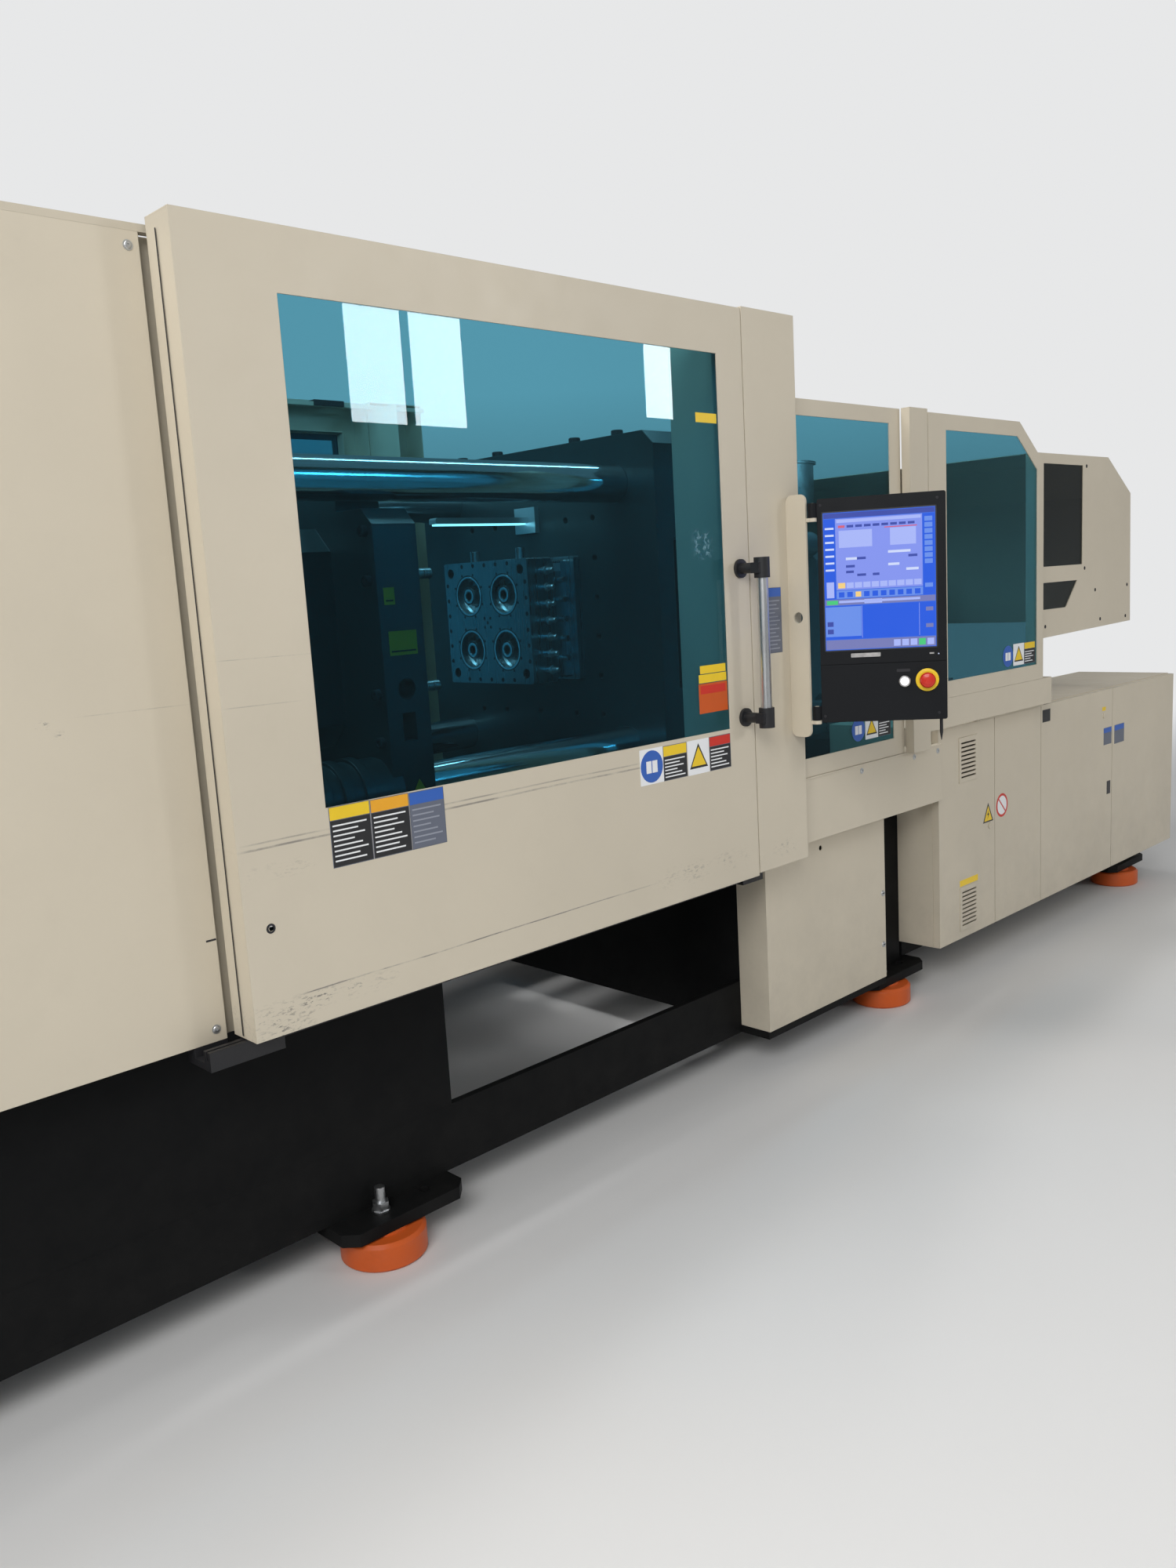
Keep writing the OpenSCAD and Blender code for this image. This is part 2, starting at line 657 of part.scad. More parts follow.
// Moving platen, ram and ejector
rod_offset = 130;
rod_r = 15;
sleeve_len = 180;
carrier_half = 470;
carrier_t = 130;
crown_half = 322;
crown_z = 370;
shoulder_z = tie_span / 2 - tie_d / 2 - 20;
sleeve_r = tie_d / 2 + 36;
module carrier_outline() {
    low = -platen_h / 2;
    w = carrier_half;
    polygon([[40 - w, low], [w - 40, low], [w, low + 40], [w, shoulder_z - 40],
        [w - 40, shoulder_z], [crown_half, shoulder_z], [crown_half, crown_z],
        [-crown_half, crown_z], [-crown_half, shoulder_z], [40 - w, shoulder_z],
        [-w, shoulder_z - 40], [-w, low + 40]]);
}
module sleeves() {
    translate([0, center_y, axis_z - tie_span / 2])
        for (s = [-1, 1]) translate([0, s * tie_span / 2, 0]) children();
}
module moving_platen() color(anthracite) in_frame() {
    plate_x = moving_face - carrier_t;
    body = 2 * 280;
    difference() {
        union() {
            translate([0, center_y, axis_z]) {
                slab_x(plate_x, moving_face) carrier_outline();
                translate([0, -body / 2, -body / 2]) slab_x(moving_back, plate_x)
                    chamfered(body, body, 60);
            }
            sleeves() rod_x(plate_x, plate_x + 30, 0, 0, sleeve_r);
        }
        sleeves() rod_x(plate_x - eps, moving_face + eps, 0, 0, tie_d / 2 + fit);
        translate([0, center_y, axis_z]) {
            quad(rod_offset, rod_offset)
                rod_x(moving_back - eps, moving_face + eps, 0, 0, rod_r + fit);
            for (s = [-1, 1]) {
                y = [s > 0 ? carrier_half - 60 : -carrier_half - eps,
                    s > 0 ? carrier_half + eps : 60 - carrier_half];
                rod_y(plate_x + carrier_t / 2, y[0], y[1], -130, 26);
                block(plate_x + 45, moving_face - 45, y[0], y[1], -260, -190);
            }
        }
        platen_holes(moving_face - 50, moving_face + eps);
    }
    sleeves() difference() {
        union() {
            rod_x(moving_back - sleeve_len, plate_x - weld, 0, 0, sleeve_r);
            for (x = [0 : 60 : 180]) rod_x(moving_back - sleeve_len + x,
                moving_back - sleeve_len + x + 26, 0, 0, sleeve_r + 9);
        }
        rod_x(moving_back - sleeve_len - eps, plate_x + eps, 0, 0, tie_d / 2 + fit);
    }
    for (s = [-1, 1]) {
        y = center_y + s * (carrier_half - 50);
        block(plate_x + 10, moving_face - 10, y - 50, y + 50, bed_z + slip, platen_z - weld);
    }
}
module clamp_ram() color([0.82, 0.84, 0.86]) in_frame() {
    len = moving_back - piston_x;
    turned_x(piston_x, center_y, axis_z)
        polygon([[0, 0], [cylinder_d / 2 - fit, 0], [cylinder_d / 2 - fit, piston_t],
            [ram_d / 2, piston_t], [ram_d / 2, len - 25], [ram_d / 2 + 8, len - 25],
            [ram_d / 2 + 8, len], [0, len]]);
}
ejector_gap = 110;
ejector_t = 30;
module ejector_plate() color(steel) in_frame() translate([moving_back, center_y, axis_z]) {
    half = 230;
    x0 = -ejector_gap - ejector_t;
    box_x = moving_platen_t + clamp_plate_t + 10;
    difference() {
        translate([0, -half, -half]) slab_x(x0, -ejector_gap) chamfered(2 * half, 2 * half, 60);
        rod_x(x0 - eps, -ejector_gap + eps, 0, 0, ram_d / 2 + 10);
    }
    quad(rod_offset, rod_offset) rod_x(-ejector_gap, box_x, 0, 0, rod_r);
    mould_plate(box_x, box_x + ejector_t, mould_w - 100, mould_h - 30);
    quad(cavity_pitch / 2, cavity_pitch / 2) rod_x(box_x + ejector_t,
        moving_platen_t + moving_mould_t - slip, 0, 0, ejector_pin_r);
}

// Clamp covers
jamb_w = 22;
wing_w = 162;
module clamp_cover() {
    tray(0, clamp_cover_w, cover_setback, flange_y, cover_bottom_z, cover_top_z);
    block(clamp_cover_w + weld, gate_x + jamb_w, flange_y - sheet, flange_y,
        cover_bottom_z, cover_top_z);
}
module clamp_cover_front() color(cream) in_frame() clamp_cover();
module clamp_cover_rear() color(cream) in_frame() at_rear() clamp_cover();
module clamp_cover_end() color(cream) in_frame() {
    y0 = flange_y;
    y1 = machine_depth - flange_y;
    difference() {
        block(0, sheet, y0, y1, cover_bottom_z, cover_top_z);
        for (i = [0 : 7]) block(-eps, sheet + eps, center_y - 250, center_y + 250,
            cover_bottom_z + 150 + i * 40, cover_bottom_z + 162 + i * 40);
    }
    for (z = [cover_bottom_z, cover_top_z - sheet])
        block(sheet + weld, fold, y0, y1, z, z + sheet);
    for (y = [y0, y1 - sheet]) block(sheet + weld, fold, y, y + sheet,
        cover_bottom_z + sheet + weld, cover_top_z - sheet - weld);
}
module clamp_roof() color(cream) in_frame() {
    x0 = fold + weld;
    y0 = flange_y;
    y1 = machine_depth - flange_y;
    low = cover_top_z - fold;
    high = cover_top_z - sheet - weld;
    block(x0, clamp_cover_w, y0, y1, cover_top_z - sheet, cover_top_z);
    for (y = [y0, y1 - sheet]) block(x0, clamp_cover_w, y, y + sheet, low, high);
    for (x = [x0, clamp_cover_w - sheet])
        block(x, x + sheet, y0 + sheet + weld, y1 - sheet - weld, low, high);
}
module platen_cover() {
    tray(post_x, post_x + post_w, 0, cover_setback, post_bottom_z, post_top_z);
    block(post_x, post_x + sheet, cover_setback + weld, cover_setback + wing_w, bed_z,
        cover_top_z - weld);
}
module platen_cover_front() color(cream) in_frame() platen_cover();
module platen_cover_rear() color(cream) in_frame() at_rear() platen_cover();

module gate_rails() color(steel) in_frame() both_sides()
    block(0, post_x + post_w, cover_setback, cover_setback + rail_w, cover_top_z,
        cover_top_z + rail_h);

strip_y = 48;
strip_t = 5;
strip_h = 22;
module guide_fork(x0, x1) {
    difference() {
        block(x0, x1, strip_y - 10, strip_y + strip_t + 10, gate_bottom_z - strip_h - 6,
            gate_bottom_z - 3);
        block(x0 - eps, x1 + eps, strip_y - slip, strip_y + strip_t + slip,
            gate_bottom_z - strip_h - slip, gate_bottom_z);
    }
}
module gate_guides() color(black) in_frame() both_sides() {
    low = gate_bottom_z - strip_h - 6;
    guide_fork(clamp_cover_w - 70, gate_x + 80);
    block(clamp_cover_w - 70, gate_x + 80, strip_y - 10, flange_y, low - 14, low);
    block(clamp_cover_w - 70, clamp_cover_w, cover_setback, flange_y, low, cover_bottom_z);
    guide_fork(gate_end - 28, post_x + 58);
    block(post_x + 3, post_x + 58, strip_y + strip_t + slip, strip_y + strip_t + 10,
        gate_bottom_z - 3, post_bottom_z);
}

// Sliding gates
module gate_panel() {
    wx0 = gate_x + window_left;
    wx1 = gate_end - window_right;
    wz0 = gate_bottom_z + window_bottom;
    wz1 = gate_top_z - window_top;
    rim = 25 + sheet;
    difference() {
        tray(gate_x, gate_end, 0, gate_t, gate_bottom_z, gate_top_z);
        block(wx0, wx1, -eps, sheet + eps, wz0, wz1);
        rod_y(gate_x + 56, -eps, sheet + eps, gate_bottom_z + 217, 6);
    }
    ring_y(wx0 - rim, wx1 + rim, sheet + weld, 40, wz0 - rim, wz1 + rim, sheet);
}
module gate_window() {
    lap = 20;
    block(gate_x + window_left - lap, gate_end - window_right + lap, sheet, sheet + pane_t,
        gate_bottom_z + window_bottom - lap, gate_top_z - window_top + lap);
}
handle_x = gate_end - 28;
module gate_shoes() {
    top = gate_top_z - sheet;
    for (x = [gate_x + 120, gate_end - 240]) {
        block(x, x + 120, 20, cover_setback + rail_w + slip + 6, top - shoe_t, top);
        block(x, x + 120, cover_setback - slip - 5, cover_setback - slip, cover_top_z + 1,
            top - shoe_t);
        block(x, x + 120, cover_setback + rail_w + slip, cover_setback + rail_w + slip + 6,
            cover_top_z + 1, top - shoe_t);
    }
    block(gate_x + 10, gate_end - 8, strip_y, strip_y + strip_t, gate_bottom_z - strip_h,
        gate_bottom_z);
}
module handle_mount(z) {
    foot_x = handle_x - 12;
    rod_y(foot_x, -8, 0, z, 25);
    difference() {
        union() {
            rod_y(foot_x, 4 - handle_standoff, -7, z, 14);
            translate([handle_x, -handle_standoff, z - 27]) cylinder(r = handle_boss_r, h = 54);
            block(foot_x - 14, handle_x, -handle_standoff - 10, 18 - handle_standoff,
                z - 14, z + 14);
        }
        translate([handle_x, -handle_standoff, z - 28]) cylinder(d = handle_d, h = 56);
    }
}
module handle_tube() {
    translate([handle_x, -handle_standoff, handle_z - 25]) difference() {
        cylinder(d = handle_d, h = handle_span + 50);
        translate([0, 0, -eps]) cylinder(d = handle_d - 6, h = handle_span + 50 + 2 * eps);
    }
}
module front_gate_panel() color(cream) in_frame() gate_panel();
module front_gate_window() color(tint) in_frame() gate_window();
module gate_handle_tube() color([0.8, 0.81, 0.82]) in_frame() handle_tube();
module front_gate_fittings() color(black) in_frame() {
    gate_shoes();
    handle_mount(handle_z);
    handle_mount(handle_z + handle_span);
}
module rear_gate_panel() color(cream) in_frame() at_rear() gate_panel();
module rear_gate_window() color(tint) in_frame() at_rear() gate_window();
module rear_gate_fittings() color(black) in_frame() at_rear() {
    gate_shoes();
    handle_mount(handle_z);
    handle_mount(handle_z + handle_span);
    translate([handle_x, -handle_standoff, handle_z - 27])
        cylinder(d = handle_d, h = handle_span + 54);
}

// Injection side guards
module purge_guard_panel() color(cream) in_frame() difference() {
    tray(purge_x, purge_x + purge_w, purge_setback, purge_setback + purge_t, purge_bottom_z,
        purge_top_z);
    block(purge_x + 20, purge_x + purge_w - purge_frame, purge_setback - eps,
        purge_setback + sheet + eps, purge_bottom_z + purge_frame - 6,
        purge_top_z - purge_frame + 16);
}
module purge_guard_window() color(tint) in_frame()
    block(purge_x + 6, purge_x + purge_w - purge_frame + 14, purge_setback + sheet,
        purge_setback + sheet + guard_pane_t, purge_bottom_z + purge_frame - 20,
        purge_top_z - purge_frame + 30);
module column_cover() color(cream) in_frame()
    tray(column_x, column_x + column_w, 0, guard_t, purge_bottom_z, purge_top_z + 2);

guard_bottom_z = ledge_top_z + slip;
guard_slope = atan2(guard_chamfer_z, guard_chamfer_x);
function guard_outline(l, r, b, t) = let (
    x1 = guard_x + guard_w - r,
    z1 = guard_top_z - t)
    [[guard_x + l, guard_bottom_z + b], [x1, guard_bottom_z + b],
        [x1, guard_top_z - guard_chamfer_z - r * tan(45 - guard_slope / 2)],
        [guard_x + guard_w - guard_chamfer_x - t * tan(guard_slope / 2), z1],
        [guard_x + l, z1]];
module injection_guard_panel() color(cream) in_frame() {
    x1 = guard_x + guard_w;
    y0 = sheet + weld;
    slope_z = guard_top_z - guard_chamfer_z;
    slope_x = x1 - guard_chamfer_x;
    difference() {
        slab_y(0, sheet) polygon(guard_outline(0, 0, 0, 0));
        slab_y(-eps, sheet + eps)
            polygon(guard_outline(guard_left, guard_frame, guard_frame + 6, guard_frame));
    }
    block(guard_x, x1, y0, guard_t, guard_bottom_z, guard_bottom_z + sheet);
    for (x = [[guard_x, guard_top_z - sheet], [x1 - sheet, slope_z]]) block(x[0], x[0] + sheet, y0,
        guard_t, guard_bottom_z + sheet + weld, x[1] - weld);
    slope_y(x1, slope_z, slope_x, guard_top_z, y0, guard_t);
    block(guard_x, slope_x - weld, y0, guard_t, guard_top_z - sheet, guard_top_z);
}
module injection_guard_window() color(tint) in_frame() {
    lap = 15;
    slab_y(sheet, sheet + guard_pane_t) polygon(guard_outline(guard_left - lap,
        guard_frame - lap, guard_frame + 6 - lap, guard_frame - lap));
}
deep_run = 480;
ledge_end = far_x + 63;
module guard_track() color(cream) in_frame() {
    z0 = ledge_top_z - ledge_h;
    deep_x = purge_x + purge_w + deep_run + 20;
    tray(column_x + column_w, ledge_end, 0, guard_t, z0, ledge_top_z);
    tray(deep_x, ledge_end, guard_t + weld, cover_setback, z0, ledge_top_z);
    block(deep_x, ledge_end, guard_t + weld, cover_setback, cabinet_top_z, z0 - weld);
    block(purge_x, cabinet_x - seam, purge_setback - sheet, door_y, upper_top_z,
        upper_top_z + track_h);
}
far_end = far_x + far_w;
far_post_w = 59;
far_window_w = 344;
far_window_z = 1456;
far_window_h = 378;
far_rise = 18;
far_lean = 14;
far_slope_h = 138;
far_slope_w = 238;
far_slope_x = far_end - far_slope_w;
far_slope_z = far_top_z - far_slope_h;
far_panes = [[[0, 0], [far_window_w, 0], [far_window_w, far_window_h], [0, far_window_h]],
    [[0, -160], [200, -160], [300, -60], [0, -60]]];
module far_cover() color(cream) in_frame() {
    y0 = far_setback + sheet + weld;
    y1 = machine_depth - rear_fold;
    post_end = far_x + far_post_w;
    right = [[far_end, far_bottom_z + far_rise], [far_end - far_lean, far_slope_z]];
    ridge = [[far_slope_x, far_top_z], [far_x, far_top_z]];
    difference() {
        slab_y(far_setback, far_setback + sheet) polygon(concat([[far_x, ledge_top_z],
            [post_end, ledge_top_z], [post_end, far_bottom_z]], right, ridge));
        translate([post_end, 0, far_window_z]) for (p = far_panes)
            slab_y(far_setback - eps, far_setback + sheet + eps) polygon(p);
    }
    block(far_x, post_end, y0, far_setback + 40, ledge_top_z, far_bottom_z);
    block(far_x, far_x + 12, y0, far_setback + 40, far_bottom_z + weld, far_top_z - sheet - weld);
    slab_y(y1 - sheet, y1) polygon(concat([[far_x, far_bottom_z]], right, ridge));
    slab_y(y0, y1 - sheet - weld) polygon([[far_end - sheet, far_bottom_z + far_rise], right[0],
        [far_end - far_lean, far_slope_z - weld], [far_end - far_lean - sheet, far_slope_z - weld]]);
    slope_y(far_end - far_lean, far_slope_z, far_slope_x, far_top_z, y0, y1 - sheet - weld);
    block(far_x, far_slope_x - weld, y0, y1 - sheet - weld, far_top_z - sheet, far_top_z);
}
module far_window() color([0.13, 0.13, 0.12, 0.7]) in_frame()
    translate([far_x + far_post_w, 0, far_window_z]) {
        lap = 14;
        slab_y(far_setback + sheet, far_setback + sheet + guard_pane_t)
            polygon([[-lap, -lap], [far_window_w + lap, -lap],
                [far_window_w + lap, far_window_h + lap], [-lap, far_window_h + lap]]);
        slab_y(far_setback + sheet, far_setback + sheet + guard_pane_t)
            polygon([[-lap, -160 - lap], [200 + lap, -160 - lap],
                [300 + 2 * lap, -60 + lap], [-lap, -60 + lap]]);
    }
rear_fold = 60;
module injection_cover_rear() color(cream) in_frame() at_rear() {
    z0 = base_bottom_z + base_foot_t;
    z1 = inj_bed_z + 40;
    y0 = sheet + weld;
    difference() {
        slab_y(0, sheet) polygon([[purge_x, z0], [machine_len, z0], [machine_len, z1],
            [far_end, z1], [far_end, far_slope_z], [far_slope_x, far_top_z], [far_x, far_top_z],
            [far_x, guard_top_z], [purge_x, guard_top_z]]);
        for (x = [purge_x + 300, far_x + 200], i = [0 : 9])
            block(x, x + 300, -eps, sheet + eps, 500 + i * 24, 509 + i * 24);
    }
    block(purge_x, machine_len, y0, rear_fold, z0, z0 + sheet);
    for (x = [[purge_x, guard_top_z], [machine_len - sheet, z1]])
        block(x[0], x[0] + sheet, y0, rear_fold, z0 + sheet + weld, x[1] - sheet - weld);
    block(far_end + weld, machine_len, y0, rear_fold, z1 - sheet, z1);
    block(far_end - sheet, far_end, y0, rear_fold, z1 - sheet, far_slope_z - weld);
    slope_y(far_end, far_slope_z, far_slope_x, far_top_z, y0, rear_fold);
    block(far_x + weld, far_slope_x - weld, y0, rear_fold, far_top_z - sheet, far_top_z);
    block(far_x - sheet, far_x, y0, rear_fold, far_top_z - sheet, guard_top_z - sheet - weld);
    block(purge_x, far_x, y0, rear_fold, guard_top_z - sheet, guard_top_z);
}

// Electric cabinet
cabinet_back = 490;
cabinet_front = door_y + door_t + slip;
door_edges = [cabinet_x, cabinet_x + door_1_w, cabinet_x + door_1_w + door_2_w,
    machine_len - door_4_w, machine_len];
module cabinet_body() color(cream) in_frame() {
    w = cabinet_wall;
    z0 = cabinet_bottom_z + w + weld;
    z1 = cabinet_top_z - w - weld;
    for (z = [cabinet_bottom_z, cabinet_top_z - w])
        block(cabinet_x, machine_len, cabinet_front, cabinet_back, z, z + w);
    block(cabinet_x, machine_len, cabinet_back - w, cabinet_back, z0, z1);
    for (x = [cabinet_x, door_edges[2] - w / 2, machine_len - w])
        block(x, x + w, cabinet_front, cabinet_back - w - weld, z0, z1);
}
vent_w = 130;
vent_h = 160;
module louvres(x, z) {
    for (i = [0 : 8]) block(x + 14, x + vent_w - 14, door_y - 4 * eps, door_y + sheet + eps,
        z + 16 + i * 15, z + 22 + i * 15);
}
module door_slab(i) {
    tray(door_edges[i] + seam / 2, door_edges[i + 1] - seam / 2, door_y, door_y + door_t,
        cabinet_bottom_z, cabinet_top_z - 3);
}
module door_lock(x, z) {
    rod_y(x, door_y - 5, door_y, z, 11);
}
vent_x = cabinet_x + 140;
vent_zs = [cabinet_bottom_z + 28, cabinet_top_z - 208];
module cabinet_door_1() color(cream) in_frame() {
    difference() {
        union() {
            door_slab(0);
            for (z = vent_zs) block(vent_x, vent_x + vent_w, door_y - 3, door_y, z, z + vent_h);
        }
        for (z = vent_zs) louvres(vent_x, z);
    }
    door_lock(door_edges[1] - 41, cabinet_bottom_z + 376);
}
module cabinet_door_2() color(cream) in_frame() door_slab(1);
module cabinet_door_3() color(cream) in_frame() {
    door_slab(2);
    door_lock(door_edges[3] - 86, cabinet_top_z - 110);
}
module cabinet_door_4() color(cream) in_frame() door_slab(3);

// Injection unit
nozzle_x = fixed_face + slip;
barrel_x = nozzle_x + nozzle_len;
barrel_end = barrel_x + barrel_len;
housing_t = 210;
barrel_seat = 150;
housing_x = barrel_end - barrel_seat;
throat_x = housing_x + housing_t / 2;
unit_w = 520;
housing_rise = 170;
housing_top = axis_z + housing_rise;
slide_y = 260;
slide_z = inj_bed_z;
slide_h = 40;
carriage_z = slide_z + slide_h + slip;
guide_y = 190;
guide_r = 30;
drive_t = 80;
drive_w = 480;
drive_h = 300;
drive_x = housing_x + housing_t + injection_stroke + 160;
rear_plate_x = drive_x + drive_t + 200;
rear_plate_t = 100;
module slide_rails() color(steel) in_frame() for (s = [-1, 1])
    block(base_end + 30, far_end - 40, center_y + s * slide_y - 22, center_y + s * slide_y + 22,
        slide_z, slide_z + slide_h);
pull_y = 230;
pull_z = 200;
pull_r = 20;
pull_head_r = 32;
pull_end = housing_x - 30;
pull_start = housing_x - carriage_stroke - 300;
module pull_in_rods() color([0.82, 0.84, 0.86]) in_frame() for (s = [-1, 1])
    translate([0, center_y + s * pull_y, axis_z - s * pull_z]) {
        rod_x(fixed_back, pull_end, 0, 0, pull_r);
        rod_x(fixed_back, fixed_back + 40, 0, 0, pull_r + 14);
        rod_x(pull_end - 30, pull_end, 0, 0, pull_head_r - fit);
    }
module injection_carriage() color([0.30, 0.33, 0.36]) in_frame() {
    y0 = center_y - unit_w / 2;
    y1 = center_y + unit_w / 2;
    deck_z = carriage_z + 80;
    x0 = housing_x - 60;
    x1 = rear_plate_x + rear_plate_t;
    difference() {
        union() {
            block(x0, x1, y0 - 40, y0 + 80, carriage_z, deck_z);
            block(x0, x1, y1 - 80, y1 + 40, carriage_z, deck_z);
            block(x0, x0 + housing_t + 60, y0, y1, carriage_z + 30, deck_z);
            block(rear_plate_x - 40, x1, y0, y1, carriage_z + 30, deck_z);
            translate([0, y0, deck_z]) slab_x(housing_x, housing_x + housing_t)
                chamfered(unit_w, housing_top - deck_z, 30);
            translate([0, y0, deck_z]) slab_x(rear_plate_x, x1)
                chamfered(unit_w, housing_top - deck_z, 30);
            for (s = [-1, 1]) {
                rod_x(housing_x + housing_t, rear_plate_x, center_y + s * guide_y, axis_z,
                    guide_r);
                rod_x(pull_start, housing_x, center_y + s * pull_y, axis_z - s * pull_z,
                    pull_head_r + 14);
            }
        }
        rod_x(housing_x - eps, housing_x + housing_t + eps, center_y, axis_z, barrel_d / 2);
        translate([throat_x, center_y, axis_z]) cylinder(r = throat_r, h = housing_rise + eps);
        for (s = [-1, 1]) {
            rod_x(pull_start - eps, pull_start + 40, center_y + s * pull_y,
                axis_z - s * pull_z, pull_r + fit);
            rod_x(pull_start + 30, pull_end + 12, center_y + s * pull_y, axis_z - s * pull_z,
                pull_head_r);
        }
        rod_x(rear_plate_x - eps, x1 + eps, center_y, axis_z, motor_r + 10);
    }
}
throat_r = 32;
motor_r = 120;
module barrel() color([0.35, 0.36, 0.37]) in_frame() difference() {
    r = barrel_d / 2;
    bore = screw_d / 2;
    turned_x(nozzle_x, center_y, axis_z)
        polygon([[3, 0], [12, 0], [22, 12], [22, nozzle_len - 70], [34, nozzle_len - 60],
            [34, nozzle_len], [r + 12, nozzle_len], [r + 12, nozzle_len + 50],
            [r, nozzle_len + 50], [r, nozzle_len + barrel_len], [bore, nozzle_len + barrel_len],
            [bore, nozzle_len + 5], [8, nozzle_len - 20], [3, nozzle_len - 60]]);
    translate([throat_x, center_y, axis_z]) cylinder(r = throat_r, h = barrel_d);
}
band_count = 5;
band_w = 150;
module heater_bands() color([0.70, 0.71, 0.72]) in_frame() {
    first = barrel_x + 60;
    pitch = (housing_x - 20 - first) / band_count;
    r = barrel_d / 2;
    for (i = [0 : band_count - 1]) {
        turned_x(first + i * pitch, center_y, axis_z)
            polygon([[r + 0.3, 0], [r + 14, 0], [r + 18, 4], [r + 18, band_w - 4],
                [r + 14, band_w], [r + 0.3, band_w]]);
        block(first + i * pitch + 40, first + i * pitch + band_w - 40, center_y - 25,
            center_y + 25, axis_z + r + 10, axis_z + r + 48);
    }
}
hopper_top = guard_top_z - 60;
hopper_wall = 4;
hopper_inner = hopper_d / 2 - hopper_wall;
cone_top = 150;
module hopper() color(steel) in_frame() translate([throat_x, center_y, housing_top]) {
    r = hopper_d / 2;
    w = hopper_wall;
    top = hopper_top - housing_top;
    rotate_extrude() polygon([[throat_r, 0], [95, 0], [95, 14], [throat_r + w, 14],
        [throat_r + w, 40], [r, cone_top], [r, top - 6], [r + 10, top - 6], [r + 10, top],
        [r - w, top], [r - w, cone_top + w * 0.6], [throat_r, 40 + w * 0.6]]);
    for (s = [-1, 1]) difference() {
        union() {
            translate([s * 45 - 8, r - 1, top - 24]) cube([16, lid_hinge + 12, 24]);
            translate([s * 45 - 8, r + 10, top - eps]) cube([16, lid_hinge + 1, 13]);
        }
        translate([s * 45 - 9, r + lid_hinge, top + 2]) rotate([0, 90, 0])
            cylinder(r = lid_pin_r, h = 18);
    }
}
lid_pin_r = 5;
lid_hinge = 22;
inlet_r = 25;
module hopper_lid() color(steel) in_frame() translate([throat_x, center_y, hopper_top + slip]) {
    r = hopper_d / 2 + 10;
    hinge_y = hopper_d / 2 + lid_hinge;
    hinge_z = 2 - slip;
    difference() {
        union() {
            cylinder(r = r - 4, h = 4);
            cylinder(r = r, h = 3);
            cylinder(r = inlet_r + 4, h = 44);
            translate([-34, r - 30, 0]) cube([68, hinge_y - r + 30, 8]);
            translate([-34, hinge_y, hinge_z]) rotate([0, 90, 0]) cylinder(r = 9, h = 68);
        }
        translate([0, 0, -eps]) cylinder(r = inlet_r, h = 46);
    }
    translate([-56, hinge_y, hinge_z]) rotate([0, 90, 0]) cylinder(r = lid_pin_r - fit, h = 112);
}
shank_r = 35;
shank_seat = 30;
module drive_plate() color([0.30, 0.33, 0.36]) in_frame() difference() {
    union() {
        translate([0, center_y - drive_w / 2, axis_z - drive_h / 2])
            slab_x(drive_x, drive_x + drive_t) chamfered(drive_w, drive_h, 40);
        rod_x(drive_x + drive_t, drive_x + drive_t + 180, center_y, axis_z, motor_r);
        rod_x(drive_x + drive_t + 40, drive_x + drive_t + 70, center_y, axis_z, motor_r + 6);
    }
    rod_x(drive_x - eps, drive_x + shank_seat, center_y, axis_z, shank_r + fit);
    for (s = [-1, 1]) rod_x(drive_x - eps, drive_x + drive_t + eps, center_y + s * guide_y,
        axis_z, guide_r + fit);
}
flight_turns = 13;
steps_per_turn = 8;
module screw() color([0.75, 0.76, 0.78]) in_frame() {
    tip = barrel_x + injection_stroke + 14;
    flight_len = flight_turns * screw_d;
    root = screw_d * 0.36;
    turned_x(tip, center_y, axis_z) polygon([[0, 0], [screw_d * 0.3, 34],
        [screw_d / 2 - fit, 44], [screw_d / 2 - fit, 70], [root, 80], [0, 80]]);
    translate([tip + 80, center_y, axis_z]) rotate([0, 90, 0])
        linear_extrude(flight_len, twist = -360 * flight_turns,
            slices = steps_per_turn * flight_turns, convexity = 4, $fn = 10)
            polygon([for (a = [0 : 36 : 324]) let (r = a == 0 || a == 36 ? screw_d / 2 - fit : root)
                [r * cos(a), r * sin(a)]]);
    shank_x = barrel_end + injection_stroke + 10;
    rod_x(tip + 80 + flight_len, shank_x, center_y, axis_z, root);
    rod_x(shank_x, drive_x + shank_seat - slip, center_y, axis_z, shank_r);
}

// Control panel, drawn with its hinge on the Z axis and its face to the front
hinge_x = purge_x - 49;
hinge_pin_r = 6;
knuckle_r = 12;
hinge_gap = knuckle_r + 1;
hinge_zs = [panel_z + 27, panel_z + panel_h - 30];
button_z = panel_z + 108;
estop_u = 299;
start_u = 239;
stylus_u = 337;
stylus_r = 4.5;
module panel_frame() {
    translate([hinge_x, -panel_standoff, 0]) rotate([0, 0, -panel_swing]) children();
}
module panel_bracket() color(cream) in_frame() {
    plate_x = hinge_x - 15;
    front = -panel_standoff + knuckle_r;
    height = 670;
    z0 = panel_z - 40;
    difference() {
        translate([0, front, z0]) slab_x(plate_x, plate_x + 8) rounded(-front, height, 20);
        translate([0, front / 2, z0 + height / 2]) rod_x(plate_x - eps, plate_x + 9, 0, 0, 15);
    }
    block(plate_x + 8, plate_x + 40, -6, 0, z0 + 20, z0 + height - 20);
    for (z = hinge_zs) {
        translate([hinge_x, -panel_standoff, z - 30]) {
            cylinder(r = hinge_pin_r, h = 50);
            cylinder(r = knuckle_r, h = 10);
        }
        block(plate_x + 2, plate_x + 8, front - 12, front + 2, z - 30, z - 20);
        block(plate_x + 2, hinge_x, front - 8, front + 2, z - 30, z - 20);
    }
}
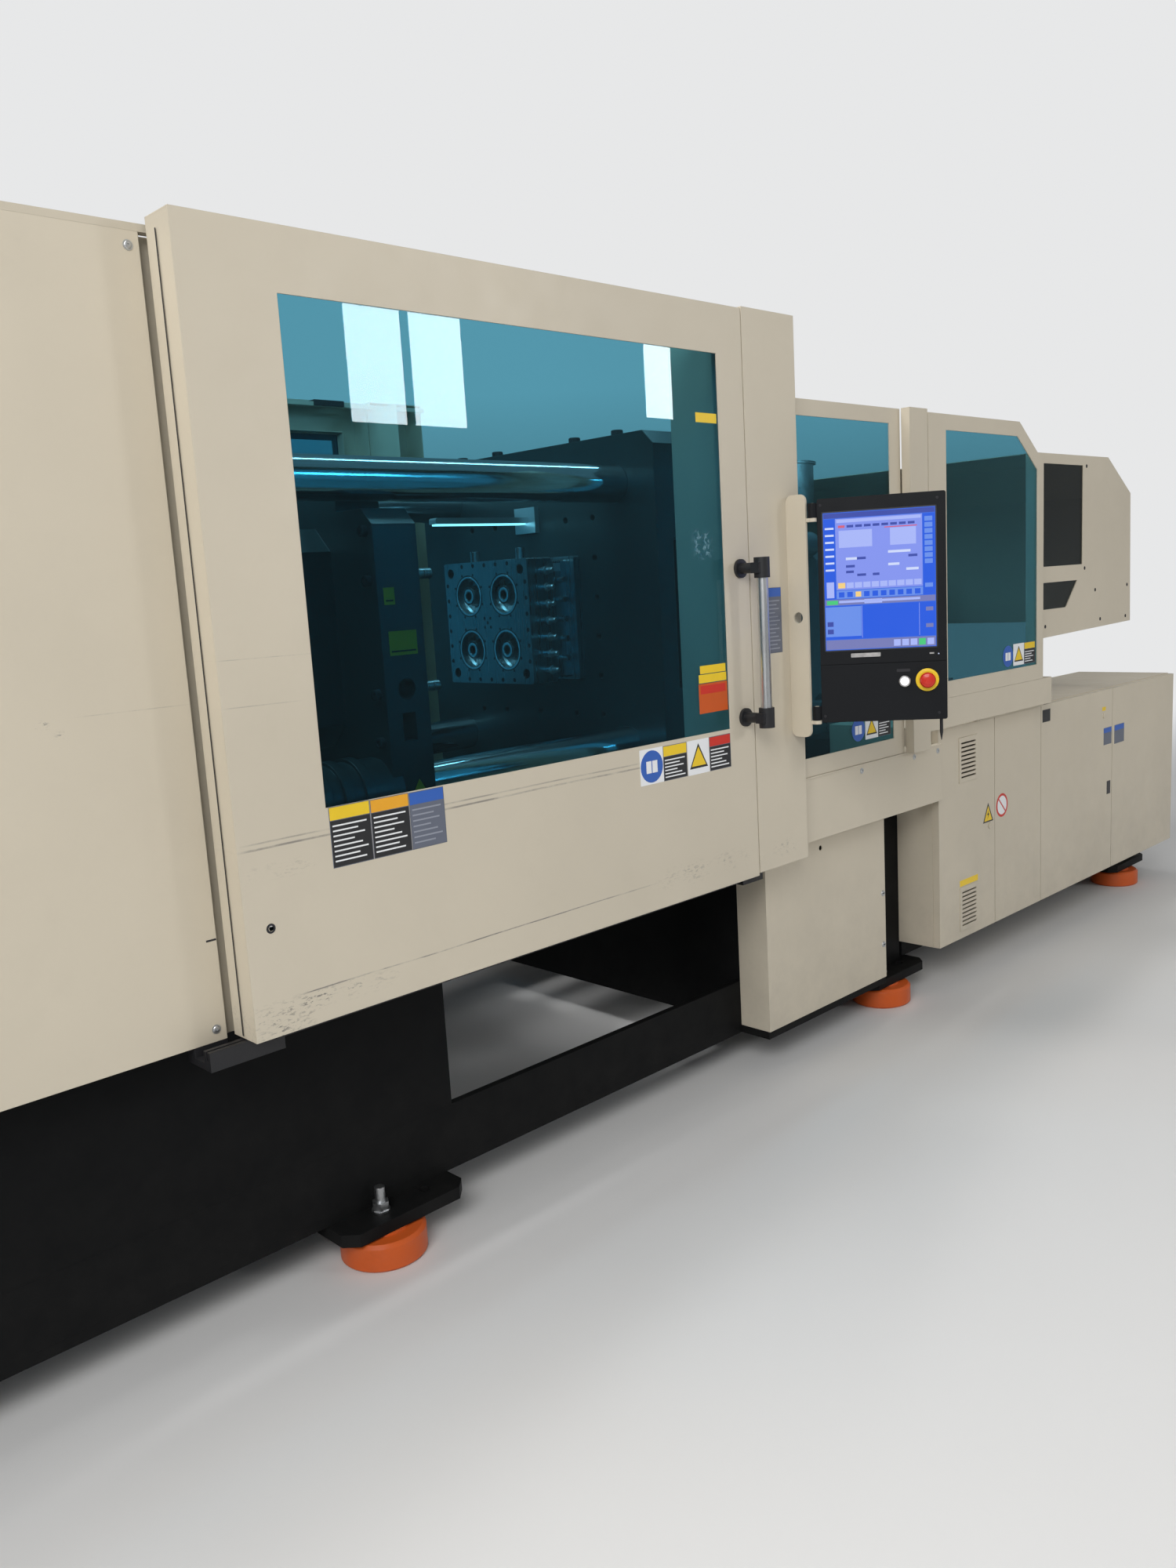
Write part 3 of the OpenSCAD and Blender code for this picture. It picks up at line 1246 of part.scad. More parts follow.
module panel_housing() color([0.10, 0.10, 0.11]) in_frame() panel_frame() {
    screen_z = panel_z + panel_h - screen_h - 39;
    difference() {
        translate([hinge_gap, 0, panel_z]) slab_y(0, panel_t)
            rounded(panel_w - hinge_gap, panel_h, 6);
        block(28, 28 + screen_w, -eps, 5, screen_z, screen_z + screen_h);
        block(hinge_gap - eps, panel_w + eps, -eps, 1.5, panel_z + 159, panel_z + 161);
        rod_y(estop_u, -eps, 20, button_z + 2, 8 + fit);
        rod_y(start_u, -eps, 20, button_z, 12 + fit);
        translate([stylus_u, 24, panel_z - eps]) cylinder(r = stylus_r + 0.5, h = 62);
        block(60, panel_w - 60, panel_t - 4, panel_t + eps, panel_z + 80, panel_z + 300);
    }
    difference() {
        rod_y(estop_u, -4, 0, button_z + 2, 30.5);
        rod_y(estop_u, -5, 1, button_z + 2, 8 + fit);
    }
    difference() {
        rod_y(start_u, -3, 0, button_z, 15);
        rod_y(start_u, -4, 1, button_z, 12 + fit);
    }
    for (z = hinge_zs) difference() {
        union() {
            translate([0, 0, z - 19.5]) cylinder(r = knuckle_r, h = 39);
            translate([0, 0, z - 19.5]) cube([hinge_gap + 4, knuckle_r, 39]);
        }
        translate([0, 0, z - 20.5]) cylinder(r = hinge_pin_r + fit, h = 41);
    }
}
module touch_screen() color([0.25, 0.45, 0.95]) in_frame() panel_frame() {
    screen_z = panel_z + panel_h - screen_h - 39;
    block(28.3, 27.7 + screen_w, 1.5, 5, screen_z + 0.3, screen_z + screen_h - 0.3);
}
module stylus() color(black) in_frame() panel_frame()
    translate([stylus_u, 24, panel_z - 61]) rotate_extrude()
        polygon([[0, 0], [1, 0], [stylus_r, 22], [stylus_r, 121], [0, 121]]);
module estop_button() color([0.80, 0.12, 0.08]) in_frame() panel_frame()
    translate([estop_u, 0, button_z + 2]) rotate([90, 0, 0]) rotate_extrude()
        polygon([[0, -10], [8, -10], [8, 14], [21, 14], [21, 22], [18, 28], [10, 31], [0, 32]]);
module start_button() color([0.95, 0.95, 0.95]) in_frame() panel_frame()
    translate([start_u, 0, button_z]) rotate([90, 0, 0]) rotate_extrude()
        polygon([[0, -10], [12, -10], [12, 6], [10, 8], [0, 8.5]]);

clamp_base();
injection_base();
levelling_pads();
levelling_studs();
base_aprons();
end_platen();
clamp_cylinder();
stationary_platen();
tie_bars();
tie_bar_nuts();
fixed_mould_half();
clamp_cover_front();
clamp_cover_rear();
clamp_cover_end();
clamp_roof();
platen_cover_front();
platen_cover_rear();
gate_rails();
gate_guides();
panel_bracket();
column_cover();
guard_track();
far_cover();
far_window();
injection_cover_rear();
cabinet_body();
slide_rails();
pull_in_rods();
front_gate_panel();
front_gate_window();
gate_handle_tube();
front_gate_fittings();
rear_gate_panel();
rear_gate_window();
rear_gate_fittings();
moving_platen();
clamp_ram();
moving_mould_half();
ejector_plate();
purge_guard_panel();
purge_guard_window();
injection_guard_panel();
injection_guard_window();
panel_housing();
touch_screen();
stylus();
estop_button();
start_button();
injection_carriage();
barrel();
heater_bands();
hopper();
hopper_lid();
drive_plate();
screw();
cabinet_door_1();
cabinet_door_2();
cabinet_door_3();
cabinet_door_4();
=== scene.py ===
import json
import math

import bmesh
import bpy
from bpy.props import FloatProperty, FloatVectorProperty, PointerProperty
from mathutils import Matrix, Vector


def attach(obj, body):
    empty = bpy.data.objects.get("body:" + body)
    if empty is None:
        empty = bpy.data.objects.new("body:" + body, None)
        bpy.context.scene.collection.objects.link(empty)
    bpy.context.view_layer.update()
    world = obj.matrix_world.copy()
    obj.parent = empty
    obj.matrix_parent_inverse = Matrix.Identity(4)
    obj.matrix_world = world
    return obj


bl_info = {
    "name": "Injection moulding machine finishes",
    "version": (1, 0, 0),
    "blender": (4, 5, 0),
    "location": "View3D > Sidebar > Machine",
    "description": "Finishes and small parts of an injection moulding machine",
    "category": "Object",
}

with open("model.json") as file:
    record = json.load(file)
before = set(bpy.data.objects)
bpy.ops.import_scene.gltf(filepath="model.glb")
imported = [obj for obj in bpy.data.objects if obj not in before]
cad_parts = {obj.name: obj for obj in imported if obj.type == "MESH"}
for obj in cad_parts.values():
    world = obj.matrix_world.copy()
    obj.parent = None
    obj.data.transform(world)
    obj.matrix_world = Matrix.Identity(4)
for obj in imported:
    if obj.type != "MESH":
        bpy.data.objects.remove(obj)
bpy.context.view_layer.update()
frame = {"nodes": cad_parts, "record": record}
NODES = frame["nodes"]
RECORD = frame["record"]

# The part's own drawing is in millimetres from the clamp end; these bring its places here
MID_X = 3145.0
MID_Y = 758.076
MM = 1000


def at(x, y, z):
    """A place of the drawing, in millimetres, as a point of the row frame in metres."""
    return Vector(((x - MID_X) / MM, (y - MID_Y) / MM, z / MM))


# Colours and sizes

def colour(title, about, value):
    return FloatVectorProperty(name=title, description=about, default=value, size=3,
                               min=0, max=1, subtype="COLOR")


def length(title, about, value):
    return FloatProperty(name=title, description=about, default=value, min=0,
                         unit="LENGTH", precision=4)


class MachineColours(bpy.types.PropertyGroup):
    """Colours of the machine's finishes"""
    cream: colour("Cover paint", "Cream powder coat of the covers", (0.62, 0.555, 0.44))
    anthracite: colour("Base paint", "Dark paint of the welded base", (0.0045, 0.005, 0.0055))
    # The casting paint is its own dark grey, darkened further as painted shade for the dim
    # inside of the machine
    casting: colour("Casting paint", "Paint of platens and cylinder", (0.024, 0.036, 0.038))
    unit: colour("Unit paint", "Paint of the injection unit", (0.16, 0.18, 0.20))
    orange: colour("Pad paint", "Orange of the levelling pads", (0.60, 0.095, 0.008))
    steel: colour("Steel", "Turned and ground steel", (0.52, 0.53, 0.54))
    chrome: colour("Chrome", "Ground hard chrome", (0.72, 0.73, 0.75))
    tool_steel: colour("Mould steel", "Ground tool steel", (0.40, 0.44, 0.46))
    heat_steel: colour("Barrel steel", "Heat-darkened steel", (0.16, 0.14, 0.13))
    band: colour("Heater bands", "Stainless jackets", (0.58, 0.57, 0.55))
    black: colour("Black plastic", "Glass-filled black plastic", (0.016, 0.016, 0.018))
    panel: colour("Panel", "Fine textured coat of the panel", (0.010, 0.011, 0.013))
    tube: colour("Handle tube", "Anodised aluminium", (0.70, 0.71, 0.72))
    teal: colour("Window tint", "Teal polycarbonate", (0.11, 0.38, 0.50))
    smoke: colour("Smoked pane", "Smoked polycarbonate", (0.16, 0.19, 0.21))
    screen: colour("Screen", "Lit blue ground of the screen", (0.06, 0.17, 0.80))
    red: colour("Red", "Emergency stop head", (0.62, 0.028, 0.014))
    yellow: colour("Yellow", "Yellow fields and the stop's ring", (0.88, 0.60, 0.02))
    blue: colour("Blue", "Blue fields", (0.03, 0.12, 0.48))
    grey: colour("Grey", "Grey ground of the plates", (0.13, 0.145, 0.19))
    pale: colour("Pale grey", "Pale bars on grey plates", (0.30, 0.32, 0.38))
    amber: colour("Amber", "Amber fields", (0.86, 0.40, 0.02))
    silver: colour("Silver", "Bars and button ring of the panel", (0.55, 0.53, 0.52))
    white: colour("White", "White plates and the lit button", (0.86, 0.87, 0.88))
    # The seals' rubber is near black; in the door seams it also stands as painted shade
    rubber: colour("Rubber", "Door seals", (0.012, 0.012, 0.013))
    floor: colour("Floor", "Pale studio floor", (0.69, 0.686, 0.677))


class MachineSizes(bpy.types.PropertyGroup):
    """Sizes of what is added to the machine"""
    plate_t: length("Plate thickness", "Thickness of the stuck-on plates", 0.0004)
    seal_w: length("Seal width", "Width of the door seals", 0.008)
    screw_r: length("Cover screw radius", "Head radius of the cover screws", 0.007)
    bolt_r: length("Bolt radius", "Head radius of the casting bolts", 0.018)


# Node trees

class Tree:
    """A node tree, built from sockets and values."""

    def __init__(self, tree):
        self.tree = tree

    def fill(self, made, values):
        """Link or set a node's inputs by name or number; other names are its own settings."""
        for key, value in values.items():
            if isinstance(value, bpy.types.NodeSocket):
                self.tree.links.new(value, made.inputs[key])
            elif isinstance(key, int) or key in made.inputs:
                made.inputs[key].default_value = value
            else:
                setattr(made, key, value)
        return made

    def node(self, kind, **values):
        return self.fill(self.tree.nodes.new(kind), values)

    def span(self, value, low, high, out_low, out_high, curve="LINEAR"):
        """A value carried over from one range to another."""
        return self.fill(self.node("ShaderNodeMapRange", interpolation_type=curve), {
            "Value": value, "From Min": low, "From Max": high, "To Min": out_low,
            "To Max": out_high}).outputs["Result"]

    def math(self, kind, a, b=0.0):
        return self.fill(self.node("ShaderNodeMath", operation=kind), {0: a, 1: b}).outputs[0]

    def product(self, *values):
        total = values[0]
        for value in values[1:]:
            total = self.math("MULTIPLY", total, value)
        return total

    def mix(self, share, a, b):
        """A mix of two colours."""
        a, b = (v if isinstance(v, bpy.types.NodeSocket) else (*v, 1) for v in (a, b))
        made = self.node("ShaderNodeMix", data_type="RGBA")
        return self.fill(made, {0: share, 6: a, 7: b}).outputs[2]

    def blend(self, share, a, b):
        """A mix of two shaders."""
        return self.fill(self.node("ShaderNodeMixShader"), {0: share, 1: a, 2: b}).outputs[0]


class Finish(Tree):
    """One material, laid out by object coordinates."""

    def __init__(self, name):
        self.material = bpy.data.materials.new(name)
        self.material.use_nodes = True
        super().__init__(self.material.node_tree)
        self.shader = self.tree.nodes["Principled BSDF"]
        self.place = self.node("ShaderNodeTexCoord").outputs["Object"]

    def put(self, socket, value):
        self.fill(self.shader, {socket: value})

    def show(self, shader):
        self.fill(self.tree.nodes["Material Output"], {"Surface": shader})

    def tone(self):
        """What feeds the base colour so far."""
        return self.shader.inputs["Base Color"].links[0].from_socket

    def apart(self):
        return self.node("ShaderNodeSeparateXYZ", Vector=self.place).outputs

    def stretch(self, scale):
        return self.node("ShaderNodeMapping", Vector=self.place, Scale=scale).outputs["Vector"]

    def noise(self, scale, detail=4.0, rough=0.5, place=None, bent=0.0):
        return self.node("ShaderNodeTexNoise", Vector=place or self.place, Scale=scale,
                         Detail=detail, Roughness=rough, Distortion=bent).outputs["Fac"]

    def bump(self, height, strength, distance, normal=None):
        made = self.node("ShaderNodeBump", Height=height, Strength=strength, Distance=distance)
        if normal:
            self.fill(made, {"Normal": normal})
        return made.outputs["Normal"]

    def soft_edges(self, radius):
        return self.node("ShaderNodeBevel", Radius=radius, samples=4).outputs["Normal"]


def shade(c, by):
    return tuple(min(1.0, v * by) for v in c)


DUST = (0.20, 0.185, 0.165)
SCRAPE = (0.16, 0.15, 0.14)
SCUFF = (0.12, 0.115, 0.11)
HAND_GREASE = (0.55, 0.66, 0.68)
DUST_TOP = 0.75


def coat(name, c, rough=0.4, grain=900.0, grain_depth=0.00012, edge=0.0015, dirt=0.10,
         low_dirt=0.0, gloss=0.5):
    """A painted or plastic surface: faint tone drift, dust, orange peel and soft edges."""
    f = Finish(name)
    drift = f.span(f.noise(1.6, 3), 0.35, 0.65, 0.0, 1.0)
    tone = f.mix(drift, shade(c, 0.97), shade(c, 1.03))
    smear = f.span(f.noise(5.5, 8, 0.68, bent=0.6), 0.52, 0.78, 0.0, dirt)
    tone = f.mix(smear, tone, shade(c, 0.62))
    if low_dirt:
        foot = f.product(f.span(f.apart()["Z"], 0.05, DUST_TOP, low_dirt, 0.0),
                         f.span(f.noise(9.0, 8, 0.7), 0.35, 0.7, 0.3, 1.0))
        tone = f.mix(foot, tone, DUST)
    f.put("Base Color", tone)
    f.put("Roughness", f.span(f.noise(14.0, 5), 0.3, 0.7, rough - 0.05, rough + 0.08))
    f.put("Specular IOR Level", gloss)
    f.put("Normal", f.bump(f.noise(grain, 2), 0.35, grain_depth, f.soft_edges(edge)))
    return f


def metal(name, c, rough, along=(1, 1, 1), streak=60.0, stain=0.25):
    """Bare metal with machining marks along one way, stains and soft edges."""
    f = Finish(name)
    marks = f.noise(streak, 3, 0.6, f.stretch(along))
    tone = f.mix(f.span(marks, 0.3, 0.7, 0.0, 1.0), shade(c, 0.86), shade(c, 1.08))
    stains = f.span(f.noise(7.0, 6, 0.65), 0.5, 0.75, 0.0, stain)
    f.put("Base Color", f.mix(stains, tone, shade(c, 0.45)))
    f.put("Metallic", 1.0)
    f.put("Roughness", f.span(marks, 0.3, 0.7, rough * 0.75, rough * 1.35))
    f.put("Normal", f.bump(marks, 0.25, 0.0002, f.soft_edges(0.001)))
    return f


# The hand's smear on the gate's window: x and z of its middle, and its half width, in metres
SMEAR_X, SMEAR_Z, SMEAR_HALF = at(2943, 0, 0).x, 1.575, 0.045


def pane(name, tint):
    """A clear tinted pane, which lets light and shadows through in its own colour."""
    f = Finish(name)
    tone = f.mix(f.span(f.noise(0.9, 2), 0.3, 0.7, 0.0, 1.0), shade(tint, 0.97),
                 shade(tint, 1.03))
    apart = f.apart()
    smear = f.span(f.noise(75.0, 3, 0.6, bent=0.5), 0.50, 0.58, 0.0, 0.35)
    for key, centre in (("X", SMEAR_X), ("Z", SMEAR_Z)):
        off = f.math("ABSOLUTE", f.math("SUBTRACT", apart[key], centre))
        smear = f.product(smear, f.span(off, SMEAR_HALF * 0.6, SMEAR_HALF, 1.0, 0.0))
    f.put("Base Color", f.mix(smear, tone, HAND_GREASE))
    f.put("Transmission Weight", f.math("SUBTRACT", 1.0, smear))
    f.put("IOR", 1.33)
    f.put("Specular IOR Level", 0.2)
    f.put("Roughness", 0.0)
    clear = f.node("ShaderNodeBsdfTransparent", Color=(*tint, 1)).outputs[0]
    path = f.node("ShaderNodeLightPath").outputs
    through = f.math("MAXIMUM", path["Is Shadow Ray"], path["Is Diffuse Ray"])
    f.show(f.blend(through, f.shader.outputs[0], clear))
    return f


# Share of a lit field's colour that is left when it is off
OFF = 0.12


def glow(f, c, strength):
    """Let a finish give light of its own."""
    f.put("Emission Color", (*c, 1))
    f.put("Emission Strength", strength)
    return f


def lit(name, c, strength):
    """A lit field of the screen or a lamp."""
    f = coat(name, shade(c, OFF), 0.16, grain_depth=0.0, dirt=0.03, edge=0.0003, gloss=0.3)
    return glow(f, c, strength).material


def scrape(f, z, start, end, half, share):
    """A long horizontal scrape, broken and slightly wavy, in millimetres."""
    z, half = z / MM, half / MM
    start, end = at(start, 0, 0).x, at(end, 0, 0).x
    apart = f.apart()
    wave = f.product(f.math("SUBTRACT", f.noise(1.4, 2), 0.5), 0.012)
    off = f.math("ABSOLUTE", f.math("SUBTRACT", f.math("ADD", apart["Z"], wave), z))
    here = f.product(f.span(off, half * 0.4, half, 1.0, 0.0),
                     f.product(f.span(apart["X"], start, start + 0.03, 0.0, 1.0),
                               f.span(apart["X"], end - 0.1, end, 1.0, 0.0)))
    broken = f.span(f.noise(26.0, 8, 0.75, f.stretch((0.25, 1, 1))), 0.40, 0.58, 0.12, 1.0)
    f.put("Base Color", f.mix(f.product(here, broken, share), f.tone(), SCRAPE))


def scuff(f, x, z, wide, high, share):
    """A patch of short scuffs that fades out at its rim, in millimetres."""
    apart = f.apart()
    here = 1.0
    for key, centre, reach in (("X", at(x, 0, 0).x, wide / MM), ("Z", z / MM, high / MM)):
        off = f.math("ABSOLUTE", f.math("SUBTRACT", apart[key], centre))
        here = f.product(f.span(off, reach * 0.25, reach, 1.0, 0.0), here)
    specks = f.span(f.noise(170.0, 4, 0.7, f.stretch((0.35, 1, 1)), 0.4), 0.53, 0.60, 0.0, 1.0)
    cloud = f.span(f.noise(16.0, 5, 0.7), 0.38, 0.6, 0.0, 1.0)
    f.put("Base Color", f.mix(f.product(here, specks, cloud, share), f.tone(), SCUFF))


# Scrapes: height, start, end, half width, share
GATE_SCRAPES = ((1044, 1558, 2778, 2.2, 0.6), (1033, 1558, 2778, 2.8, 0.75),
                (728, 1658, 2728, 1.8, 0.9), (1391, 1558, 1808, 1.2, 0.5),
                (1303, 1558, 1738, 1.4, 0.5))
COVER_SCRAPES = ((1311, 1330, 1560, 1.3, 0.5),)
# Scuffs: x, height, half width, half height, share
GATE_SCUFFS = ((1625, 678, 75, 45, 0.95), (1720, 708, 190, 26, 0.85),
               (2900, 728, 210, 35, 0.45), (1640, 985, 100, 20, 0.35))
COVER_SCUFFS = ((1273, 1307, 18, 12, 0.95), (1301, 1285, 12, 10, 0.95),
                (3248, 716, 60, 28, 0.75), (3020, 700, 160, 24, 0.5))


def worn_coat(name, c, low_dirt, scrapes, scuffs):
    """The cover paint, with the scrapes and scuffs of years of use."""
    f = coat(name, c.cream, 0.42, dirt=0.07, low_dirt=low_dirt)
    for values in scrapes:
        scrape(f, *values)
    for values in scuffs:
        scuff(f, *values)
    return f


# Finishes by material slot: the colour's name, the roughness and what differs from the usual
PAINTS = {
    "base_paint": ("anthracite", 0.5, {"dirt": 0.15, "low_dirt": 0.04, "gloss": 0.08}),
    # The platens' paint takes the casting colour, which also carries painted shade for the dim
    # inside of the machine
    "platen_paint": ("casting", 0.34, {"grain": 90.0, "grain_depth": 0.00008, "dirt": 0.3,
                                       "edge": 0.004, "gloss": 0.6}),
    "unit_paint": ("unit", 0.4, {"grain": 120.0, "grain_depth": 0.00015, "dirt": 0.3}),
    "orange_pad": ("orange", 0.36, {"dirt": 0.5, "low_dirt": 0.12, "edge": 0.003,
                                    "gloss": 0.35}),
    "black_fittings": ("black", 0.45, {"grain": 1500.0, "dirt": 0.15, "gloss": 0.4}),
    "panel_black": ("panel", 0.5, {"grain": 1800.0, "dirt": 0.12, "edge": 0.0025,
                                   "gloss": 0.15}),
    "red_plastic": ("red", 0.3, {"dirt": 0.1, "edge": 0.001}),
}
METALS = {
    "bare_steel": ("steel", 0.34, {}),
    "ground_chrome": ("chrome", 0.12, {"along": (0.04, 1, 1), "streak": 120.0, "stain": 0.08}),
    "mould_steel": ("tool_steel", 0.3, {"along": (1, 1, 0.05), "streak": 90.0, "stain": 0.3}),
    "barrel_steel": ("heat_steel", 0.42, {"along": (0.2, 1, 1), "streak": 50.0, "stain": 0.5}),
    "band_metal": ("band", 0.3, {"along": (1, 0.2, 0.2), "streak": 70.0, "stain": 0.35}),
    "handle_aluminium": ("tube", 0.3, {"along": (1, 1, 0.03), "streak": 150.0, "stain": 0.1}),
}
PANES = {"tinted_pane": "teal", "smoked_pane": "smoke"}


def finish_for(slot, c):
    """The finish of one material slot of the record."""
    for table, make in ((PAINTS, coat), (METALS, metal)):
        if slot in table:
            key, rough, more = table[slot]
            return make(slot, getattr(c, key), rough, **more)
    if slot in PANES:
        return pane(slot, getattr(c, PANES[slot]))
    if slot == "cover_paint":
        return worn_coat(slot, c, 0.28, COVER_SCRAPES, COVER_SCUFFS)
    if slot == "white_plastic":
        return glow(coat(slot, c.white, 0.25, dirt=0.02), c.white, 0.7)
    if slot == "screen":
        return glow(coat(slot, shade(c.screen, OFF), 0.18, dirt=0.05, gloss=0.3), c.screen, 0.8)
    raise RuntimeError("no finish for the material slot " + slot)


class PaintParts(bpy.types.Operator):
    """Give every part of the machine the finish of its material slot"""
    bl_idname = "machine.paint_parts"
    bl_label = "Finish the parts"

    def execute(self, context):
        colours = context.scene.machine_colours
        made = {}
        for row in RECORD["subparts"]:
            slot = row["material_slot"]
            if slot not in made:
                made[slot] = finish_for(slot, colours)
            materials = NODES[row["node"]].data.materials
            materials.clear()
            materials.append(made[slot].material)
        for name, f in (
                ("front_gate_panel", worn_coat("gate_paint", colours, 0.2, GATE_SCRAPES,
                                               GATE_SCUFFS)),
                ("gate_rails", coat("rail_paint", shade(colours.cream, 0.94), 0.35, dirt=0.12))):
            NODES[name].data.materials[0] = f.material
        return {"FINISHED"}


# Small parts, drawn in the millimetres of the part's own drawing

FRONT = (0, -1, 0)
BACK = (0, 1, 0)
UP = (0, 0, 1)
TO_CLAMP = (-1, 0, 0)


class Piece:
    """A mesh built from boxes, turned profiles and outlines, then tied to a body."""

    def __init__(self, name, place=at):
        self.name = name
        self.place = place
        self.mesh = bmesh.new()
        self.finishes = []

    def _done(self, faces, finish):
        if finish not in self.finishes:
            self.finishes.append(finish)
        for face in faces:
            face.material_index = self.finishes.index(finish)

    def prism(self, outline, y0, y1, finish):
        """An outline of (x, z) corners, drawn from y0 back to y1."""
        front = [self.mesh.verts.new(self.place(x, y0, z)) for x, z in outline]
        back = [self.mesh.verts.new(self.place(x, y1, z)) for x, z in outline]
        n = len(outline)
        faces = [self.mesh.faces.new(front), self.mesh.faces.new(back[::-1])]
        for i in range(n):
            k = (i + 1) % n
            faces.append(self.mesh.faces.new((front[k], front[i], back[i], back[k])))
        self._done(faces, finish)

    def field(self, x0, x1, z0, z1, y, finish, thick, corner=0.0):
        """A thin plate with its face towards the operator, its back at y."""
        outline = [(x1, z1), (x0, z1), (x0, z0), (x1, z0)]
        if corner:
            inner = ((x1 - corner, z1 - corner, 0), (x0 + corner, z1 - corner, 90),
                     (x0 + corner, z0 + corner, 180), (x1 - corner, z0 + corner, 270))
            outline = [(cx + corner * math.cos(math.radians(turn + step * 22.5)),
                        cz + corner * math.sin(math.radians(turn + step * 22.5)))
                       for cx, cz, turn in inner for step in range(5)]
        self.prism(outline, y - thick, y, finish)

    def disc(self, x, z, radius, y, finish, thick, sides=32):
        self.prism([(x + radius * math.cos(2 * math.pi * i / sides),
                     z + radius * math.sin(2 * math.pi * i / sides)) for i in range(sides)],
                   y - thick, y, finish)

    def turned(self, profile, centre, way, finish, sides):
        """A profile of (radius, height) points turned about way through centre."""
        axis = Vector(way).normalized()
        side = axis.orthogonal().normalized()
        other = axis.cross(side)
        rings = []
        for r, h in profile:
            middle = Vector(centre) + axis * h
            turns = [2 * math.pi * i / sides for i in range(sides)] if r else [0.0]
            rings.append([self.mesh.verts.new(self.place(
                *(middle + (side * math.cos(a) + other * math.sin(a)) * r))) for a in turns])
        faces = []
        for a, b in zip(rings, rings[1:]):
            for i in range(sides):
                k = (i + 1) % sides
                quad = [a[i % len(a)], a[k % len(a)], b[k % len(b)], b[i % len(b)]]
                quad = [v for j, v in enumerate(quad) if v not in quad[:j]]
                if len(quad) > 2:
                    faces.append(self.mesh.faces.new(quad))
        self._done(faces, finish)

    def ride(self, body, slot=None):
        bmesh.ops.recalc_face_normals(self.mesh, faces=self.mesh.faces)
        mesh = bpy.data.meshes.new(self.name)
        self.mesh.to_mesh(mesh)
        self.mesh.free()
        for finish in self.finishes:
            mesh.materials.append(finish)
        ob = bpy.data.objects.new(self.name, mesh)
        bpy.context.scene.collection.objects.link(ob)
        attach(ob, body)


# Inks that are printed thickly, and the dirt on each
THICK_INKS = {"grey": 0.2, "amber": 0.15, "pale": 0.1}


def film(colours, key):
    """The finish of a printed field, made once for each colour, with fine rubs."""
    name = "film_" + key
    made = bpy.data.materials.get(name)
    if made:
        return made
    tone = getattr(colours, key)
    if key in THICK_INKS:
        return coat(name, tone, 0.34, dirt=THICK_INKS[key]).material
    return coat(name, tone, 0.34, grain_depth=0.00005, dirt=0.16, edge=0.0002).material


# Depth in the drawing of the front faces that carry plates and screws, and the whole width
GATE_Y, PURGE_Y, FAR_Y, DOOR_Y, COVER_Y = 0, 33, 35, 50, 100
WIDTH = 1800
# How far a pane lies behind the face of its frame
PANE_BACK = 3
# Thickness of one layer of print, a plate's rim, and half the height of a printed bar
INK = 0.1
RIM = 1.5
BAR_HALF = 1.6
# Share of the field that is left free at a bar's end, one bar after another
BAR_FREE = (0.05, 0.3, 0.12, 0.42, 0.2)


class Plates(Piece):
    """Plain colour plates on one body, with their backs at y."""

    def __init__(self, name, scene, y, place=at):
        super().__init__(name, place)
        self.y = y
        self.t = scene.machine_sizes.plate_t * MM
        self.colours = scene.machine_colours

    def ink(self, key):
        return film(self.colours, key)

    def plate(self, x0, x1, z0, z1, key):
        self.field(x0, x1, z0, z1, self.y, self.ink(key), self.t)

    def printed(self, x0, x1, z0, z1, key, layer=0):
        self.field(x0, x1, z0, z1, self.y - self.t - layer * INK, self.ink(key), INK)

    def shape(self, outline, key, layer=0):
        """A printed outline, on as many layers of ink as layer says."""
        y = self.y - self.t - layer * INK
        self.prism(outline, y - INK, y, self.ink(key))

    def headed(self, x0, x1, z0, z1, head, body, share):
        """A plate with a coloured head above a field of another colour."""
        self.plate(x0, x1, z0, z1, "grey")
        line = z1 - (z1 - z0) * share
        self.printed(x0 + RIM, x1 - RIM, line, z1 - RIM, head)
        self.printed(x0 + RIM, x1 - RIM, z0 + RIM, line - RIM, body)

    def bars(self, x0, x1, z0, z1, key, rows):
        """Plain bars across a plate's field, each of its own length."""
        for i in range(rows):
            z = z1 - (z1 - z0) * (i + 0.5) / rows
            end = x1 - (x1 - x0) * BAR_FREE[i % len(BAR_FREE)]
            self.printed(x0, end, z - BAR_HALF, z + BAR_HALF, key, 1)

    def badge(self, x, z, radius, lift=0.0):
        """A blue disc with a plain white field in it."""
        y = self.y - lift
        self.disc(x, z, radius, y, self.ink("blue"), self.t)
        for a, b in ((-0.5, -0.04), (0.04, 0.5)):
            self.field(x + a * radius, x + b * radius, z - radius * 0.4, z + radius * 0.35,
                       y - self.t, self.ink("white"), INK)

    def sign(self, x0, x1, z0, z1):
        """A white plate with a yellow triangle on a black one."""
        self.plate(x0, x1, z0, z1, "white")
        cx, w, h = (x0 + x1) / 2, (x1 - x0) * 0.42, (z1 - z0) * 0.72
        low = (z0 + z1) / 2 - h * 0.45
        self.shape([(cx, low + h), (cx - w, low), (cx + w, low)], "black")
        self.shape([(cx, low + h * 0.86), (cx - w * 0.8, low + h * 0.09),
                    (cx + w * 0.8, low + h * 0.09)], "yellow", 1)


# Plates below the gate's window, on both gates: left, right, top, head, field, bars, rows
GATE_PLATES = (
    (1764, 1861, 1086, "yellow", "black", "white", 8),
    (1862, 1958, 1085, "amber", "black", "white", 8),
    (1959, 2050, 1084, "blue", "grey", "pale", 7))
GATE_PLATES_LOW = 962
GATE_HEAD = 0.22
# Plates below the handle: left, right, low, head, share of the head, top of the bars
HANDLE_PLATES = (
    (2751, 2842, 985, "yellow", 0.3, 1042),
    (2933, 3021, 984, "red", 0.28, 1044))
HANDLE_PLATES_TOP = 1075
